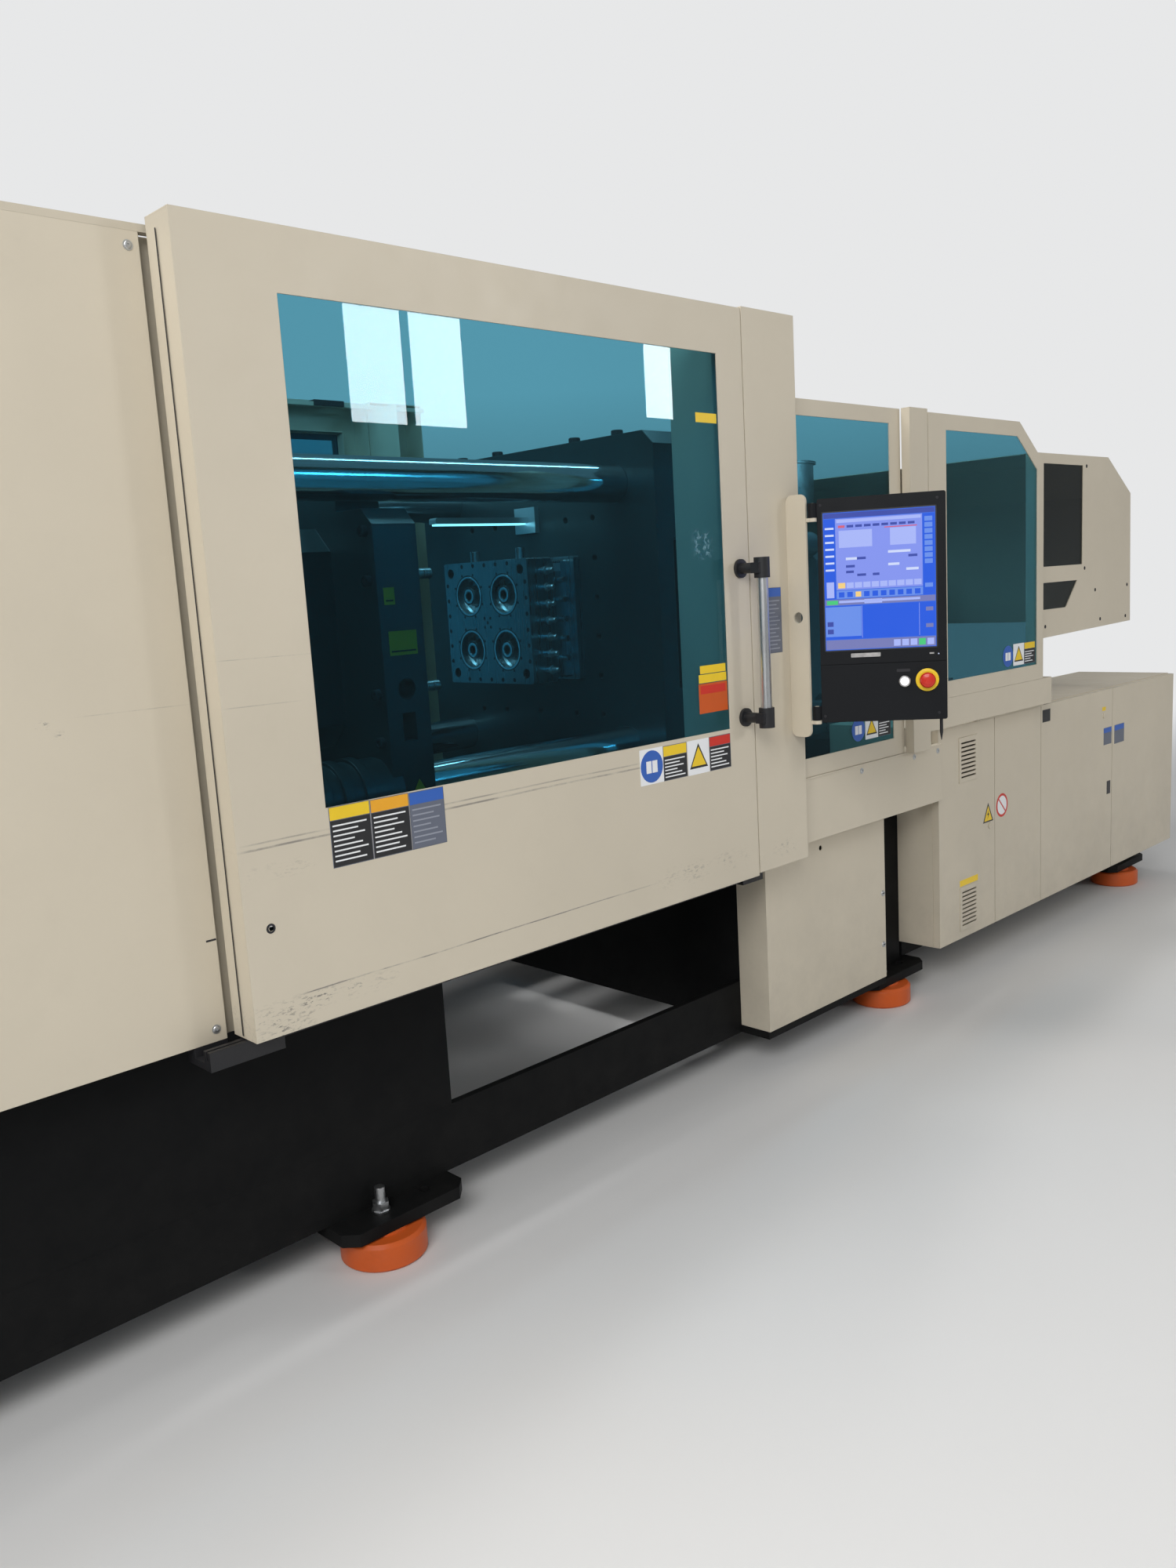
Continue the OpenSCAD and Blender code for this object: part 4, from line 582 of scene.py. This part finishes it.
# Plates on the gate's pane: left, right, low, top, colour
PANE_PLATES = (
    (2936, 3018, 1881, 1905, "yellow"), (2912, 3016, 1243, 1264, "yellow"),
    (2906, 3018, 1219, 1241, "yellow"), (2904, 3020, 1139, 1217, "orange"))


def gate_plates(scene):
    gate = Plates("gate_plates", scene, GATE_Y)
    for x0, x1, top, head, body, ink, rows in GATE_PLATES:
        gate.headed(x0, x1, GATE_PLATES_LOW, top, head, body, GATE_HEAD)
        gate.bars(x0 + 6, x1 - 6, 970, 1052, ink, rows)
    gate.plate(2664, 2750, 985, 1076, "white")
    gate.badge(2707, 1030, 41, gate.t)
    gate.sign(2845, 2931, 984, HANDLE_PLATES_TOP)
    for x0, x1, low, head, share, top in HANDLE_PLATES:
        gate.headed(x0, x1, low, HANDLE_PLATES_TOP, head, "black", share)
        gate.bars(x0 + 5, x1 - 5, 990, top, "white", 6)
    gate.y = GATE_Y + PANE_BACK
    for values in PANE_PLATES:
        gate.plate(*values)
    gate.printed(2911, 3013, 1190, 1212, "red")
    gate.ride("front_gate")

    rear = Plates("rear_gate_plates", scene, GATE_Y, lambda x, y, z: at(x, WIDTH - y, z))
    for x0, x1, top, head, body, _, _ in GATE_PLATES[:2]:
        rear.headed(x0, x1, GATE_PLATES_LOW, top, head, body, GATE_HEAD)
    rear.ride("rear_gate")


def guard_plates(scene):
    purge = Plates("purge_guard_plates", scene, PURGE_Y + PANE_BACK)
    purge.badge(3690, 998, 36)
    purge.sign(3728, 3800, 962, 1034)
    purge.headed(3802, 3874, 962, 1034, "red", "black", 0.28)
    purge.bars(3807, 3869, 967, 1008, "white", 5)
    purge.ride("purge_guard")

    guard = Plates("injection_guard_plates", scene, GATE_Y + PANE_BACK)
    guard.badge(4600, 1150, 38)
    guard.sign(4640, 4722, 1112, 1190)
    guard.headed(4724, 4808, 1112, 1190, "yellow", "black", 0.3)
    guard.bars(4729, 4803, 1117, 1160, "white", 5)
    guard.ride("injection_guard")

    post = Plates("post_plate", scene, GATE_Y)
    post.headed(3200, 3266, 1273, 1453, "blue", "grey", 0.14)
    post.bars(3205, 3261, 1280, 1422, "pale", 13)
    post.ride("frame")


def door_plates(scene):
    first = Plates("first_door_plates", scene, DOOR_Y)
    first.plate(4332, 4462, 352, 374, "yellow")
    first.prism([(4540, 623), (4502, 552), (4578, 552)], DOOR_Y - first.t, DOOR_Y,
                first.ink("black"))
    first.shape([(4540, 611), (4511, 557), (4569, 557)], "yellow")
    first.shape([(4544, 598), (4532, 578), (4540, 578), (4534, 562), (4548, 583), (4540, 583)],
                "black", 1)
    first.ride("door_1")

    second = Plates("second_door_plate", scene, DOOR_Y)
    second.disc(4645, 597, 44, DOOR_Y, second.ink("red"), second.t)
    second.disc(4645, 597, 35, DOOR_Y - second.t, second.ink("white"), INK)
    second.shape([(4618, 620), (4622, 624), (4672, 574), (4668, 570)], "red", 1)
    second.ride("door_2")

    third = Plates("third_door_plates", scene, DOOR_Y)
    for x0, x1, z0, z1, key in ((4972, 5038, 864, 912, "black"),
                                (5518, 5552, 846, 862, "yellow"),
                                (5570, 5606, 486, 542, "black")):
        third.plate(x0, x1, z0, z1, key)
    third.headed(5534, 5612, 700, 772, "blue", "grey", 0.3)
    third.ride("door_3")

    fourth = Plates("fourth_door_plate", scene, DOOR_Y)
    fourth.headed(5642, 5742, 692, 772, "blue", "grey", 0.3)
    fourth.ride("door_4")


class StickPlates(bpy.types.Operator):
    """Stick the plain colour plates on the gates, guards and doors"""
    bl_idname = "machine.stick_plates"
    bl_label = "Colour plates"

    def execute(self, context):
        for make in (gate_plates, guard_plates, door_plates):
            make(context.scene)
        return {"FINISHED"}


# Where the control panel hangs, and how far it is turned towards the operator at rest
HINGE = (3315.0, -77.0)
SWING = math.radians(56.3)


def on_panel(u, y, z):
    """A place on the control panel: u from its hinge, y behind its face, z up."""
    return at(HINGE[0] + u * math.cos(SWING) + y * math.sin(SWING),
              HINGE[1] - u * math.sin(SWING) + y * math.cos(SWING), z)


# The lit screen: its left and lower edge, its width and height on the panel
SCREEN = (28.6, 1270.6, 295.8, 373.8)
SCREEN_TONES = {
    "page": (0.25, 0.32, 0.90), "bar": (0.42, 0.50, 0.98), "deep": (0.03, 0.12, 0.78),
    "grey": (0.20, 0.22, 0.50), "white": (0.66, 0.74, 1.0), "red": (0.70, 0.14, 0.22),
    "amber": (0.95, 0.66, 0.25), "green": (0.08, 0.62, 0.22), "ink": (0.06, 0.09, 0.42),
    "sky": (0.16, 0.30, 0.86)}
# Plain fields by share of the screen: left, low, right, high, tone, layer
SCREEN_FIELDS = [
    (0.005, 0.005, 0.995, 0.075, "grey", 0), (0.005, 0.08, 0.995, 0.325, "deep", 0),
    (0.005, 0.33, 0.995, 0.372, "grey", 0), (0.005, 0.375, 0.105, 0.955, "deep", 0),
    (0.89, 0.375, 0.995, 0.955, "deep", 0), (0.11, 0.44, 0.885, 0.955, "page", 0),
    (0.11, 0.378, 0.885, 0.435, "sky", 0), (0.005, 0.96, 0.995, 0.995, "ink", 0),
    (0.12, 0.925, 0.875, 0.948, "bar", 1), (0.13, 0.345, 0.86, 0.362, "bar", 1),
    (0.005, 0.10, 0.33, 0.318, "sky", 1), (0.02, 0.385, 0.088, 0.50, "bar", 1),
    (0.905, 0.43, 0.975, 0.46, "sky", 1), (0.14, 0.745, 0.44, 0.868, "bar", 1),
    (0.60, 0.745, 0.83, 0.868, "bar", 1), (0.55, 0.872, 0.84, 0.879, "red", 2),
    (0.02, 0.335, 0.12, 0.365, "green", 1), (0.36, 0.335, 0.52, 0.366, "bar", 1),
    (0.335, 0.085, 0.338, 0.32, "bar", 2), (0.85, 0.085, 0.853, 0.32, "bar", 2)]
# Short bars on the page: left, low, right
SCREEN_BARS = ((0.20, 0.655, 0.30), (0.30, 0.655, 0.38), (0.20, 0.60, 0.28), (0.20, 0.56, 0.27),
               (0.58, 0.69, 0.68), (0.68, 0.69, 0.78), (0.58, 0.60, 0.68), (0.76, 0.655, 0.84),
               (0.74, 0.56, 0.85), (0.30, 0.535, 0.38), (0.44, 0.535, 0.50))
# Rows of equal fields: first field, step across and up, number, tone, layer, the odd one out
SCREEN_ROWS = (
    ((0.015, 0.58, 0.095, 0.594), (0, 0.05), 7, "white", 1, None),
    ((0.905, 0.60, 0.975, 0.633), (0, 0.043), 8, "sky", 1, None),
    ((0.91, 0.14, 0.975, 0.168), (0, 0.12), 2, "grey", 2, None),
    ((0.02, 0.12, 0.075, 0.155), (0, 0.055), 2, "ink", 2, None),
    ((0.135, 0.888, 0.195, 0.906), (0.078, 0), 9, "ink", 1, (0, "red")),
    ((0.125, 0.452, 0.190, 0.492), (0.076, 0), 10, "bar", 1, (0, "amber")),
    ((0.130, 0.386, 0.180, 0.424), (0.076, 0), 10, "deep", 1, (2, "amber")),
    ((0.62, 0.015, 0.68, 0.062), (0.075, 0), 5, "bar", 1, (3, "green")))


def screen_fields():
    """Every field of the screen, back to front of what it lies on."""
    yield from SCREEN_FIELDS
    for left, low, right in SCREEN_BARS:
        yield left, low, right, low + 0.018, "white" if right - left > 0.09 else "ink", 1
    for (a, b, c, d), (across, up), number, tone, layer, odd in SCREEN_ROWS:
        for i in range(number):
            key = odd[1] if odd and odd[0] == i else tone
            yield a + i * across, b + i * up, c + i * across, d + i * up, key, layer


# Depth of the screen behind the housing's face, and the thickness of one layer of fields
SCREEN_Y = 1.5
SCREEN_LAYER = 0.05
# Rims round the screen: left, right, low, top
SCREEN_RIMS = ((25, 28, 1267, 1648), (325, 328, 1267, 1648), (25, 328, 1645, 1648),
               (25, 328, 1267, 1270))
# The rings round the push button and the emergency stop, and a screw of the housing
BUTTON_RING = [(12.6, 0), (15.6, 0), (15.6, 2.4), (14.6, 3.4), (12.6, 3.4)]
STOP_RING = [(8.6, 0), (31, 0), (31, 1.2), (29.5, 2.6), (24, 3.4), (8.6, 3.4)]
HOUSING_SCREW = [(0, 0.5), (1.8, 0.5), (2.0, 1.6), (3.2, 1.5), (4.2, 0)]


def screen_picture(look):
    picture = Piece("screen_picture", on_panel)
    left, low, wide, high = SCREEN
    for a, b, c, d, key, layer in screen_fields():
        picture.field(left + a * wide, left + c * wide, low + b * high, low + d * high,
                      SCREEN_Y - layer * SCREEN_LAYER, look[key], SCREEN_LAYER)
    picture.ride("control_panel")


def panel_trim(colours, look):
    black = bpy.data.materials["panel_black"]
    fittings = bpy.data.materials["black_fittings"]
    silver = metal("trim_silver", colours.silver, 0.35).material
    trim = Piece("panel_trim", on_panel)
    for x0, x1, z0, z1 in SCREEN_RIMS:
        trim.field(x0, x1, z0, z1, 0, black, 1.0)
    # Two silver bars below the screen, a small lamp, and the strip above the push button
    trim.field(96, 176, 1249, 1260, 0, silver, 0.5, 2)
    trim.field(306, 318, 1250, 1254, 0, silver, 0.3)
    trim.disc(330, 1250, 1.8, 0, look["white"], 0.4, 12)
    trim.field(218, 254, 1204, 1212, 0, fittings, 0.6, 2)
    trim.turned(BUTTON_RING, (239, -3, 1178), FRONT, silver, 32)
    trim.turned(STOP_RING, (299, -4, 1180), FRONT, film(colours, "yellow"), 40)
    for z in (1088, 1666):
        for u in (22, 330):
            trim.turned(HOUSING_SCREW, (u, 0, z), FRONT, fittings, 16)
    trim.ride("control_panel")


class DressPanel(bpy.types.Operator):
    """Light the screen's fields and add the control panel's rims and rings"""
    bl_idname = "machine.dress_panel"
    bl_label = "Control panel"

    def execute(self, context):
        look = {key: lit("screen_" + key, tone, 0.85) for key, tone in SCREEN_TONES.items()}
        screen_picture(look)
        panel_trim(context.scene.machine_colours, look)
        return {"FINISHED"}


def scaled(profile, by):
    return [(r * by, h * by) for r, h in profile]


# The middle of the platens and of the mould, across and up
AXIS_Y, AXIS_Z = 900, 1390


# Screws of the clamp covers and of the far cover: x and height
COVER_SCREWS = [(x, z) for x in (21, 520, 1030, 1529) for z in (675, 2129)]
FAR_SCREWS = ((4905, 1480), (4905, 1830), (5300, 1440), (5310, 1832), (5400, 1351),
              (5712, 1359), (5700, 1230), (4960, 1232), (5450, 1232))
# Screws in a row along the apron below the purge guard
APRON_SCREWS_X, APRON_SCREWS_Z = (3385, 3700, 4010, 4160), 868
# Heights of the platens' top and of the bed, where the casting bolts stand
PLATEN_TOP, BED = 1920, 720
# The ring round the gate's lock
LOCK_RING = [(5.6, 0.2), (5.6, 0.8), (9.5, 0.8), (10, 0)]


def button_head(r):
    """A round cover screw with its socket, on a washer."""
    return [(0, 1.0), (r * 0.32, 1.0), (r * 0.36, r * 0.42), (r * 0.8, r * 0.32), (r, 0.8),
            (r * 1.35, 0.8), (r * 1.35, 0)]


def socket_head(r):
    """A tall bolt head with its socket."""
    return [(0, r * 0.35), (r * 0.5, r * 0.35), (r * 0.5, r * 1.05), (r * 0.86, r * 1.05),
            (r, r * 0.92), (r, 0)]


def cover_screws(button, steel, black):
    covers = Piece("cover_screws")
    for x, z in COVER_SCREWS:
        covers.turned(button, (x, COVER_Y, z), FRONT, steel, 20)
        covers.turned(button, (x, WIDTH - COVER_Y, z), BACK, steel, 20)
    covers.field(1528, 1549, 851, 855, COVER_Y, black, 0.3)
    for x, z in FAR_SCREWS:
        covers.turned(scaled(button, 0.75), (x, FAR_Y, z), FRONT, black, 16)
    for x in APRON_SCREWS_X:
        covers.turned(button, (x, PURGE_Y, APRON_SCREWS_Z), FRONT, steel, 16)
    covers.ride("frame")


# The ring round the gate's lock, and a painted shadow line down the gate's side
def gate_edge_trim(black):
    edge = Piece("gate_edge_trim")
    edge.turned(LOCK_RING, (1614, GATE_Y, 875), FRONT, black, 24)
    # A thin black strip on the gate's side at the back of its edge: a painted shadow line of the
    # gap behind the gate
    edge.prism([(1557.6, 664), (1558, 664), (1558, 2150), (1557.6, 2150)], 47, 51, black)
    edge.ride("front_gate")


def casting_bolts(socket, black):
    """Bolts on top of the stationary and the end platen, and on the bed beside their feet."""
    bolts = Piece("casting_bolts")
    for y in (-368, -184, 184, 368):
        for x in (3195, 3395, 890, 1090):
            bolts.turned(socket, (x, AXIS_Y + y, PLATEN_TOP), UP, black, 20)
    for y in (-530, 530):
        for x in (3165, 3425, 745, 965):
            bolts.turned(socket, (x, AXIS_Y + y, BED), UP, black, 20)
    bolts.ride("frame", "black_fittings")


def moving_platen_bolts(socket, black):
    moving = Piece("moving_platen_bolts")
    for y in (-440, 440):
        for z in (1130, 1250, 1530, 1650):
            moving.turned(scaled(socket, 0.8), (2220, AXIS_Y + y, z), TO_CLAMP, black, 20)
    moving.ride("clamp_slide_body", "black_fittings")


class FitScrews(bpy.types.Operator):
    """Fit the cover screws, the gate's lock ring and painted shadow line, and the platens' bolts
    """
    bl_idname = "machine.fit_screws"
    bl_label = "Screws and bolts"

    def execute(self, context):
        sizes = context.scene.machine_sizes
        black = bpy.data.materials["black_fittings"]
        socket = socket_head(sizes.bolt_r * MM)
        cover_screws(button_head(sizes.screw_r * MM), bpy.data.materials["bare_steel"], black)
        gate_edge_trim(black)
        casting_bolts(socket, black)
        moving_platen_bolts(socket, black)
        return {"FINISHED"}


# The fixed half's face and side, and the distance of each cavity from the axis
MOULD_FACE_X, MOULD_SIDE_Y = 2950, 676
CAVITY_OFF = 84.5
# Rings on the face round and inside each cavity: profile, finish, sides
MOULD_RINGS = (
    ([(56.3, 0), (56.5, 0.3), (61.5, 0.3), (62, 0)], "ground_chrome", 40),
    ([(17, 0), (17.2, 0.3), (22.5, 0.3), (23, 0)], "ground_chrome", 28),
    ([(62.1, 0), (62.1, 0.2), (65.5, 0.2), (65.5, 0)], "black_fittings", 40),
    ([(23.1, 0), (23.1, 0.2), (27, 0.2), (27, 0)], "black_fittings", 28))
# A screw sunk in the face; it stays under the gap between the closed halves
SUNK_SCREW = [(0, 0.06), (1.6, 0.06), (1.8, 0.2), (3.8, 0.2), (4.2, 0)]
# Screws round each cavity: number, distance from its middle, turn of the first
CAVITY_SCREWS = (8, 70, 22)
# The other screws of the face: scale, and places across and up from the axis
FACE_SCREWS = (
    (1.2, ((0, 0), (-14, 14), (14, 14), (-14, -14), (14, -14))),
    (1.6, [(y, z) for y in (-188, 188) for z in (-120, -72, -24, 24, 72, 120)]),
    (1.6, [(y, z) for z in (-178, 178) for y in (-110, -55, 0, 55, 110)]))
# A water fitting on the mould's side
WATER_FITTING = [(0, 30), (6, 30), (8, 26), (8, 6), (13.5, 4), (13.5, 0)]


def mould_trim(colours, black):
    """Rings, screws and water fittings of the fixed half."""
    fixed = Piece("mould_trim")

    def on_face(profile, y, z, finish, sides):
        fixed.turned(profile, (MOULD_FACE_X, AXIS_Y + y, AXIS_Z + z), TO_CLAMP, finish, sides)

    number, ring, first = CAVITY_SCREWS
    for cy in (-CAVITY_OFF, CAVITY_OFF):
        for cz in (-CAVITY_OFF, CAVITY_OFF):
            for profile, finish, sides in MOULD_RINGS:
                on_face(profile, cy, cz, bpy.data.materials[finish], sides)
            for i in range(number):
                a = math.radians(first + i * 360 / number)
                on_face(SUNK_SCREW, cy + ring * math.cos(a), cz + ring * math.sin(a), black, 12)
    for scale, places in FACE_SCREWS:
        for y, z in places:
            on_face(scaled(SUNK_SCREW, scale), y, z, black, 12)
    for z in range(-150, 151, 50):
        fixed.turned(WATER_FITTING, (MOULD_FACE_X + 56, MOULD_SIDE_Y, AXIS_Z + z), FRONT,
                     bpy.data.materials["bare_steel"], 16)
    fixed.field(3046, 3074, 1536, 1560, 686.5, film(colours, "white"), 0.6)
    fixed.ride("frame")


def mould_lamp():
    """The strip lamp over the mould: its foot on the platen, its arm and its lens."""
    lamp = Piece("mould_lamp")
    grey = bpy.data.materials["handle_aluminium"]
    lens = lit("lamp_lens", (0.80, 0.86, 0.84), 4.0)
    lamp.prism([(3132, 1662), (3150, 1662), (3150, 1742), (3132, 1742)], 852, 948, grey)
    lamp.prism([(2765, 1694), (3132, 1694), (3132, 1712), (2770, 1712), (2765, 1707)], 884, 918,
               grey)
    lamp.prism([(2772, 1689), (3124, 1689), (3124, 1694), (2772, 1694)], 888, 914, lens)
    lamp.ride("frame")


# The side of the moving platen that carries plates
CARRIER_Y = 430


def moving_platen_plates(colours, black):
    carrier = Piece("moving_platen_plates")
    yellow = film(colours, "yellow")
    face = CARRIER_Y - 0.5
    for x0, x1, z0, z1 in ((2243, 2327, 1345, 1405), (2238, 2270, 1470, 1512)):
        carrier.field(x0, x1, z0, z1, CARRIER_Y, yellow, 0.5)
        carrier.field(x0 + 5, x1 - 5, z0 + 8, z0 + 12, face, black, INK)
    carrier.prism([(2300, 1038), (2268, 986), (2332, 986)], face, CARRIER_Y, black)
    carrier.prism([(2300, 1030), (2276, 991), (2324, 991)], face - 0.2, face, yellow)
    carrier.ride("clamp_slide_body")


class DressMould(bpy.types.Operator):
    """Fit the rings, screws, lamp and plates round the mould"""
    bl_idname = "machine.dress_mould"
    bl_label = "Mould trim"

    def execute(self, context):
        colours = context.scene.machine_colours
        black = bpy.data.materials["black_fittings"]
        mould_trim(colours, black)
        mould_lamp()
        moving_platen_plates(colours, black)
        return {"FINISHED"}


# The seams between the cabinet doors
DOOR_SEAMS = (4190, 4590, 4960, 5620, 6290)
# A seal's distance from its seam, its lower and upper edge, its back and its depth
SEAL_INSET = 5.6
SEAL_LOW, SEAL_TOP = 164.6, 928.4
SEAL_BACK_Y, SEAL_DEPTH = 74, 12
# A quarter-turn lock of the apron: its profile, x and heights, and half its slot each way
APRON_LOCK = [(0, 1.2), (4, 1.2), (4, 3), (9, 2.6), (10, 0)]
LOCK_X, LOCK_Z = 3912, (240, 417)
SLOT_HALF_X, SLOT_HALF_Z = 7, 1.2


# Black rubber seals behind the door edges: real seals, whose near black also serves as painted
# shade in the seams between the doors
def door_seals(rubber, w):
    z0, z1 = SEAL_LOW, SEAL_TOP
    for i, (left, right) in enumerate(zip(DOOR_SEAMS, DOOR_SEAMS[1:]), 1):
        x0, x1 = left + SEAL_INSET, right - SEAL_INSET
        seal = Piece("door_seal_%d" % i)
        for a, b, c, d in ((x0, x1, z0, z0 + w), (x0, x1, z1 - w, z1),
                           (x0, x0 + w, z0 + w, z1 - w), (x1 - w, x1, z0 + w, z1 - w)):
            seal.field(a, b, c, d, SEAL_BACK_Y, rubber, SEAL_DEPTH)
        seal.ride("door_%d" % i)


def apron_locks(steel, black):
    locks = Piece("apron_locks")
    for z in LOCK_Z:
        locks.turned(APRON_LOCK, (LOCK_X, COVER_Y, z), FRONT, steel, 20)
        locks.field(LOCK_X - SLOT_HALF_X, LOCK_X + SLOT_HALF_X, z - SLOT_HALF_Z, z + SLOT_HALF_Z,
                    COVER_Y - 2.8, black, 0.3)
    locks.ride("frame")


class SealDoors(bpy.types.Operator):
    """Line the cabinet doors with black rubber, which also paints the shade in the seams, and
    fit the apron's quarter-turn locks
    """
    bl_idname = "machine.seal_doors"
    bl_label = "Door seals and locks"

    def execute(self, context):
        scene = context.scene
        rubber = coat("seal_rubber", scene.machine_colours.rubber, 0.6, grain=700.0, dirt=0.2,
                      gloss=0.3).material
        door_seals(rubber, scene.machine_sizes.seal_w * MM)
        apron_locks(bpy.data.materials["bare_steel"], bpy.data.materials["black_fittings"])
        return {"FINISHED"}


# Stage

BACKDROP = (0.80, 0.805, 0.81)
FLOOR_HALF = 40
# Where the floor runs into the backdrop, from and to, in metres from the middle
FLOOR_FADE = (4.5, 10.0)
# The room's light, and how bright the room and the floor are as the panes mirror them
ROOM_LIGHT = 0.29
ROOM_MIRRORED = 0.10
FLOOR_MIRRORED = (0.10, 0.10, 0.095)
# Brightness of the low part of the room as it is seen through a pane
ROOM_THROUGH = 0.3
# Lamps: name, place, aim, size, power
LAMPS = (
    ("key_lamp", (-5.2, -4.0, 4.6), (-0.6, -0.6, 1.0), (4.0, 3.0), 268.0),
    ("first_strip_lamp", (3.41, -7.2, 3.42), (3.41, 0.0, 3.42), (0.55, 1.06), 40.0),
    ("second_strip_lamp", (4.05, -7.2, 3.42), (4.05, 0.0, 3.42), (0.55, 1.06), 40.0),
    ("third_strip_lamp", (6.85, -7.2, 3.50), (6.85, 0.0, 3.50), (0.40, 0.80), 22.0),
    ("bar_lamp", (2.4, 0.3, 6.2), (-0.2, 0.1, 1.6), (0.35, 3.4), 70.0),
    ("top_lamp", (-2.4, 0.6, 6.4), (-0.1, 0.2, 1.3), (3.6, 1.4), 190.0))
# The camera, fitted to the photo: place in metres, yaw, pitch and roll in degrees
CAMERA_PLACE = (-2.645, -2.818076, 1.494)
CAMERA_TURN = (43.878, 9.401, 3.351)
CAMERA_LENS = 27.79
CAMERA_SENSOR = 36.0


def ray_kinds(t):
    """Shares of the rays that are seen at once, come through a pane, or are mirrored by one."""
    path = t.node("ShaderNodeLightPath").outputs
    seen = t.math("MAXIMUM", path["Is Camera Ray"], path["Is Transmission Ray"])
    straight = t.math("LESS_THAN", path["Glossy Depth"], 0.5)
    through = t.product(path["Is Transmission Ray"], straight)
    mirrored = t.product(path["Is Singular Ray"], path["Is Reflection Ray"])
    return seen, through, mirrored


def lay_floor(scene):
    n = FLOOR_HALF
    mesh = bpy.data.meshes.new("studio_floor")
    mesh.from_pydata([(-n, -n, 0), (n, -n, 0), (n, n, 0), (-n, n, 0)], [], [(0, 1, 2, 3)])
    floor = bpy.data.objects.new("studio_floor", mesh)
    scene.collection.objects.link(floor)
    tone = scene.machine_colours.floor
    f = Finish("floor")
    f.put("Base Color", f.mix(f.noise(0.8, 3), shade(tone, 0.985), shade(tone, 1.015)))
    f.put("Roughness", f.span(f.noise(5.0, 4), 0.3, 0.7, 0.6, 0.7))
    f.put("Normal", f.bump(f.noise(220.0, 3), 0.2, 0.0004))
    seen, through, mirrored = ray_kinds(f)
    reach = f.fill(f.node("ShaderNodeVectorMath", operation="LENGTH"), {0: f.place})
    away = f.span(reach.outputs["Value"], *FLOOR_FADE, 0.0, 1.0, "SMOOTHSTEP")
    haze = f.node("ShaderNodeEmission", Color=(*BACKDROP, 1),
                  Strength=f.span(through, 0.0, 1.0, 1.0, ROOM_THROUGH))
    near = f.blend(f.product(away, seen), f.shader.outputs[0], haze.outputs[0])
    dim = f.node("ShaderNodeEmission", Color=(*FLOOR_MIRRORED, 1), Strength=1.0)
    f.show(f.blend(mirrored, near, dim.outputs[0]))
    mesh.materials.append(f.material)


def light_room(scene):
    world = bpy.data.worlds.new("studio")
    world.use_nodes = True
    scene.world = world
    t = Tree(world.node_tree)
    seen, through, mirrored = ray_kinds(t)
    light = t.fill(t.tree.nodes["Background"], {
        "Color": (0.96, 0.98, 1.0, 1),
        "Strength": t.span(mirrored, 0.0, 1.0, ROOM_LIGHT, ROOM_MIRRORED)})
    way = t.node("ShaderNodeTexCoord").outputs["Generated"]
    height = t.node("ShaderNodeSeparateXYZ", Vector=way).outputs["Z"]
    dusk = t.span(height, -0.02, 0.15, ROOM_THROUGH - 1.0, 0.0)
    backdrop = t.node("ShaderNodeBackground", Color=(*BACKDROP, 1),
                      Strength=t.math("ADD", t.product(dusk, through), 1.0))
    t.fill(t.tree.nodes["World Output"], {
        "Surface": t.blend(seen, light.outputs[0], backdrop.outputs[0])})
    for name, where, aim, size, power in LAMPS:
        lamp = bpy.data.lights.new(name, "AREA")
        lamp.shape = "RECTANGLE"
        lamp.size, lamp.size_y = size
        lamp.energy = power
        ob = bpy.data.objects.new(name, lamp)
        ob.location = where
        ob.rotation_mode = "QUATERNION"
        ob.rotation_quaternion = (Vector(aim) - Vector(where)).to_track_quat("-Z", "Y")
        scene.collection.objects.link(ob)


def place_camera(scene):
    yaw, pitch, roll = (math.radians(v) for v in CAMERA_TURN)
    ahead = Vector((math.sin(yaw) * math.cos(pitch), math.cos(yaw) * math.cos(pitch),
                    -math.sin(pitch)))
    right = Vector((math.cos(yaw), -math.sin(yaw), 0))
    down = ahead.cross(right)
    x_axis = right * math.cos(roll) + down * math.sin(roll)
    y_axis = right * math.sin(roll) - down * math.cos(roll)
    data = bpy.data.cameras.new("photo_view")
    data.sensor_width = CAMERA_SENSOR
    data.lens = CAMERA_LENS
    data.clip_end = 100.0
    camera = bpy.data.objects.new("photo_view", data)
    turn = Matrix((x_axis, y_axis, -ahead)).transposed().to_4x4()
    camera.matrix_world = Matrix.Translation(CAMERA_PLACE) @ turn
    scene.collection.objects.link(camera)
    scene.camera = camera


class SetStage(bpy.types.Operator):
    """Lay the floor, place the lamps and the camera"""
    bl_idname = "machine.set_stage"
    bl_label = "Floor, lamps and camera"

    def execute(self, context):
        for make in (lay_floor, light_room, place_camera):
            make(context.scene)
        context.scene.view_settings.view_transform = "Standard"
        return {"FINISHED"}


STEPS = [PaintParts, StickPlates, DressPanel, FitScrews, DressMould, SealDoors, SetStage]


class MachinePanel(bpy.types.Panel):
    """Colours, sizes and steps of the machine"""
    bl_idname = "VIEW3D_PT_machine"
    bl_label = "Injection moulding machine"
    bl_space_type = "VIEW_3D"
    bl_region_type = "UI"
    bl_category = "Machine"

    def draw(self, context):
        scene = context.scene
        for group in (scene.machine_colours, scene.machine_sizes):
            box = self.layout.box()
            for key in group.bl_rna.properties.keys():
                if key not in ("rna_type", "name"):
                    box.prop(group, key)
        for step in STEPS:
            self.layout.operator(step.bl_idname)


CLASSES = [MachineColours, MachineSizes, *STEPS, MachinePanel]


def register():
    for cls in CLASSES:
        bpy.utils.register_class(cls)
    bpy.types.Scene.machine_colours = PointerProperty(type=MachineColours)
    bpy.types.Scene.machine_sizes = PointerProperty(type=MachineSizes)


def unregister():
    del bpy.types.Scene.machine_sizes
    del bpy.types.Scene.machine_colours
    for cls in reversed(CLASSES):
        bpy.utils.unregister_class(cls)


def main():
    register()
    for step in STEPS:
        group, name = step.bl_idname.split(".")
        getattr(getattr(bpy.ops, group), name)()
    bpy.context.view_layer.update()


if __name__ == "__main__":
    main()
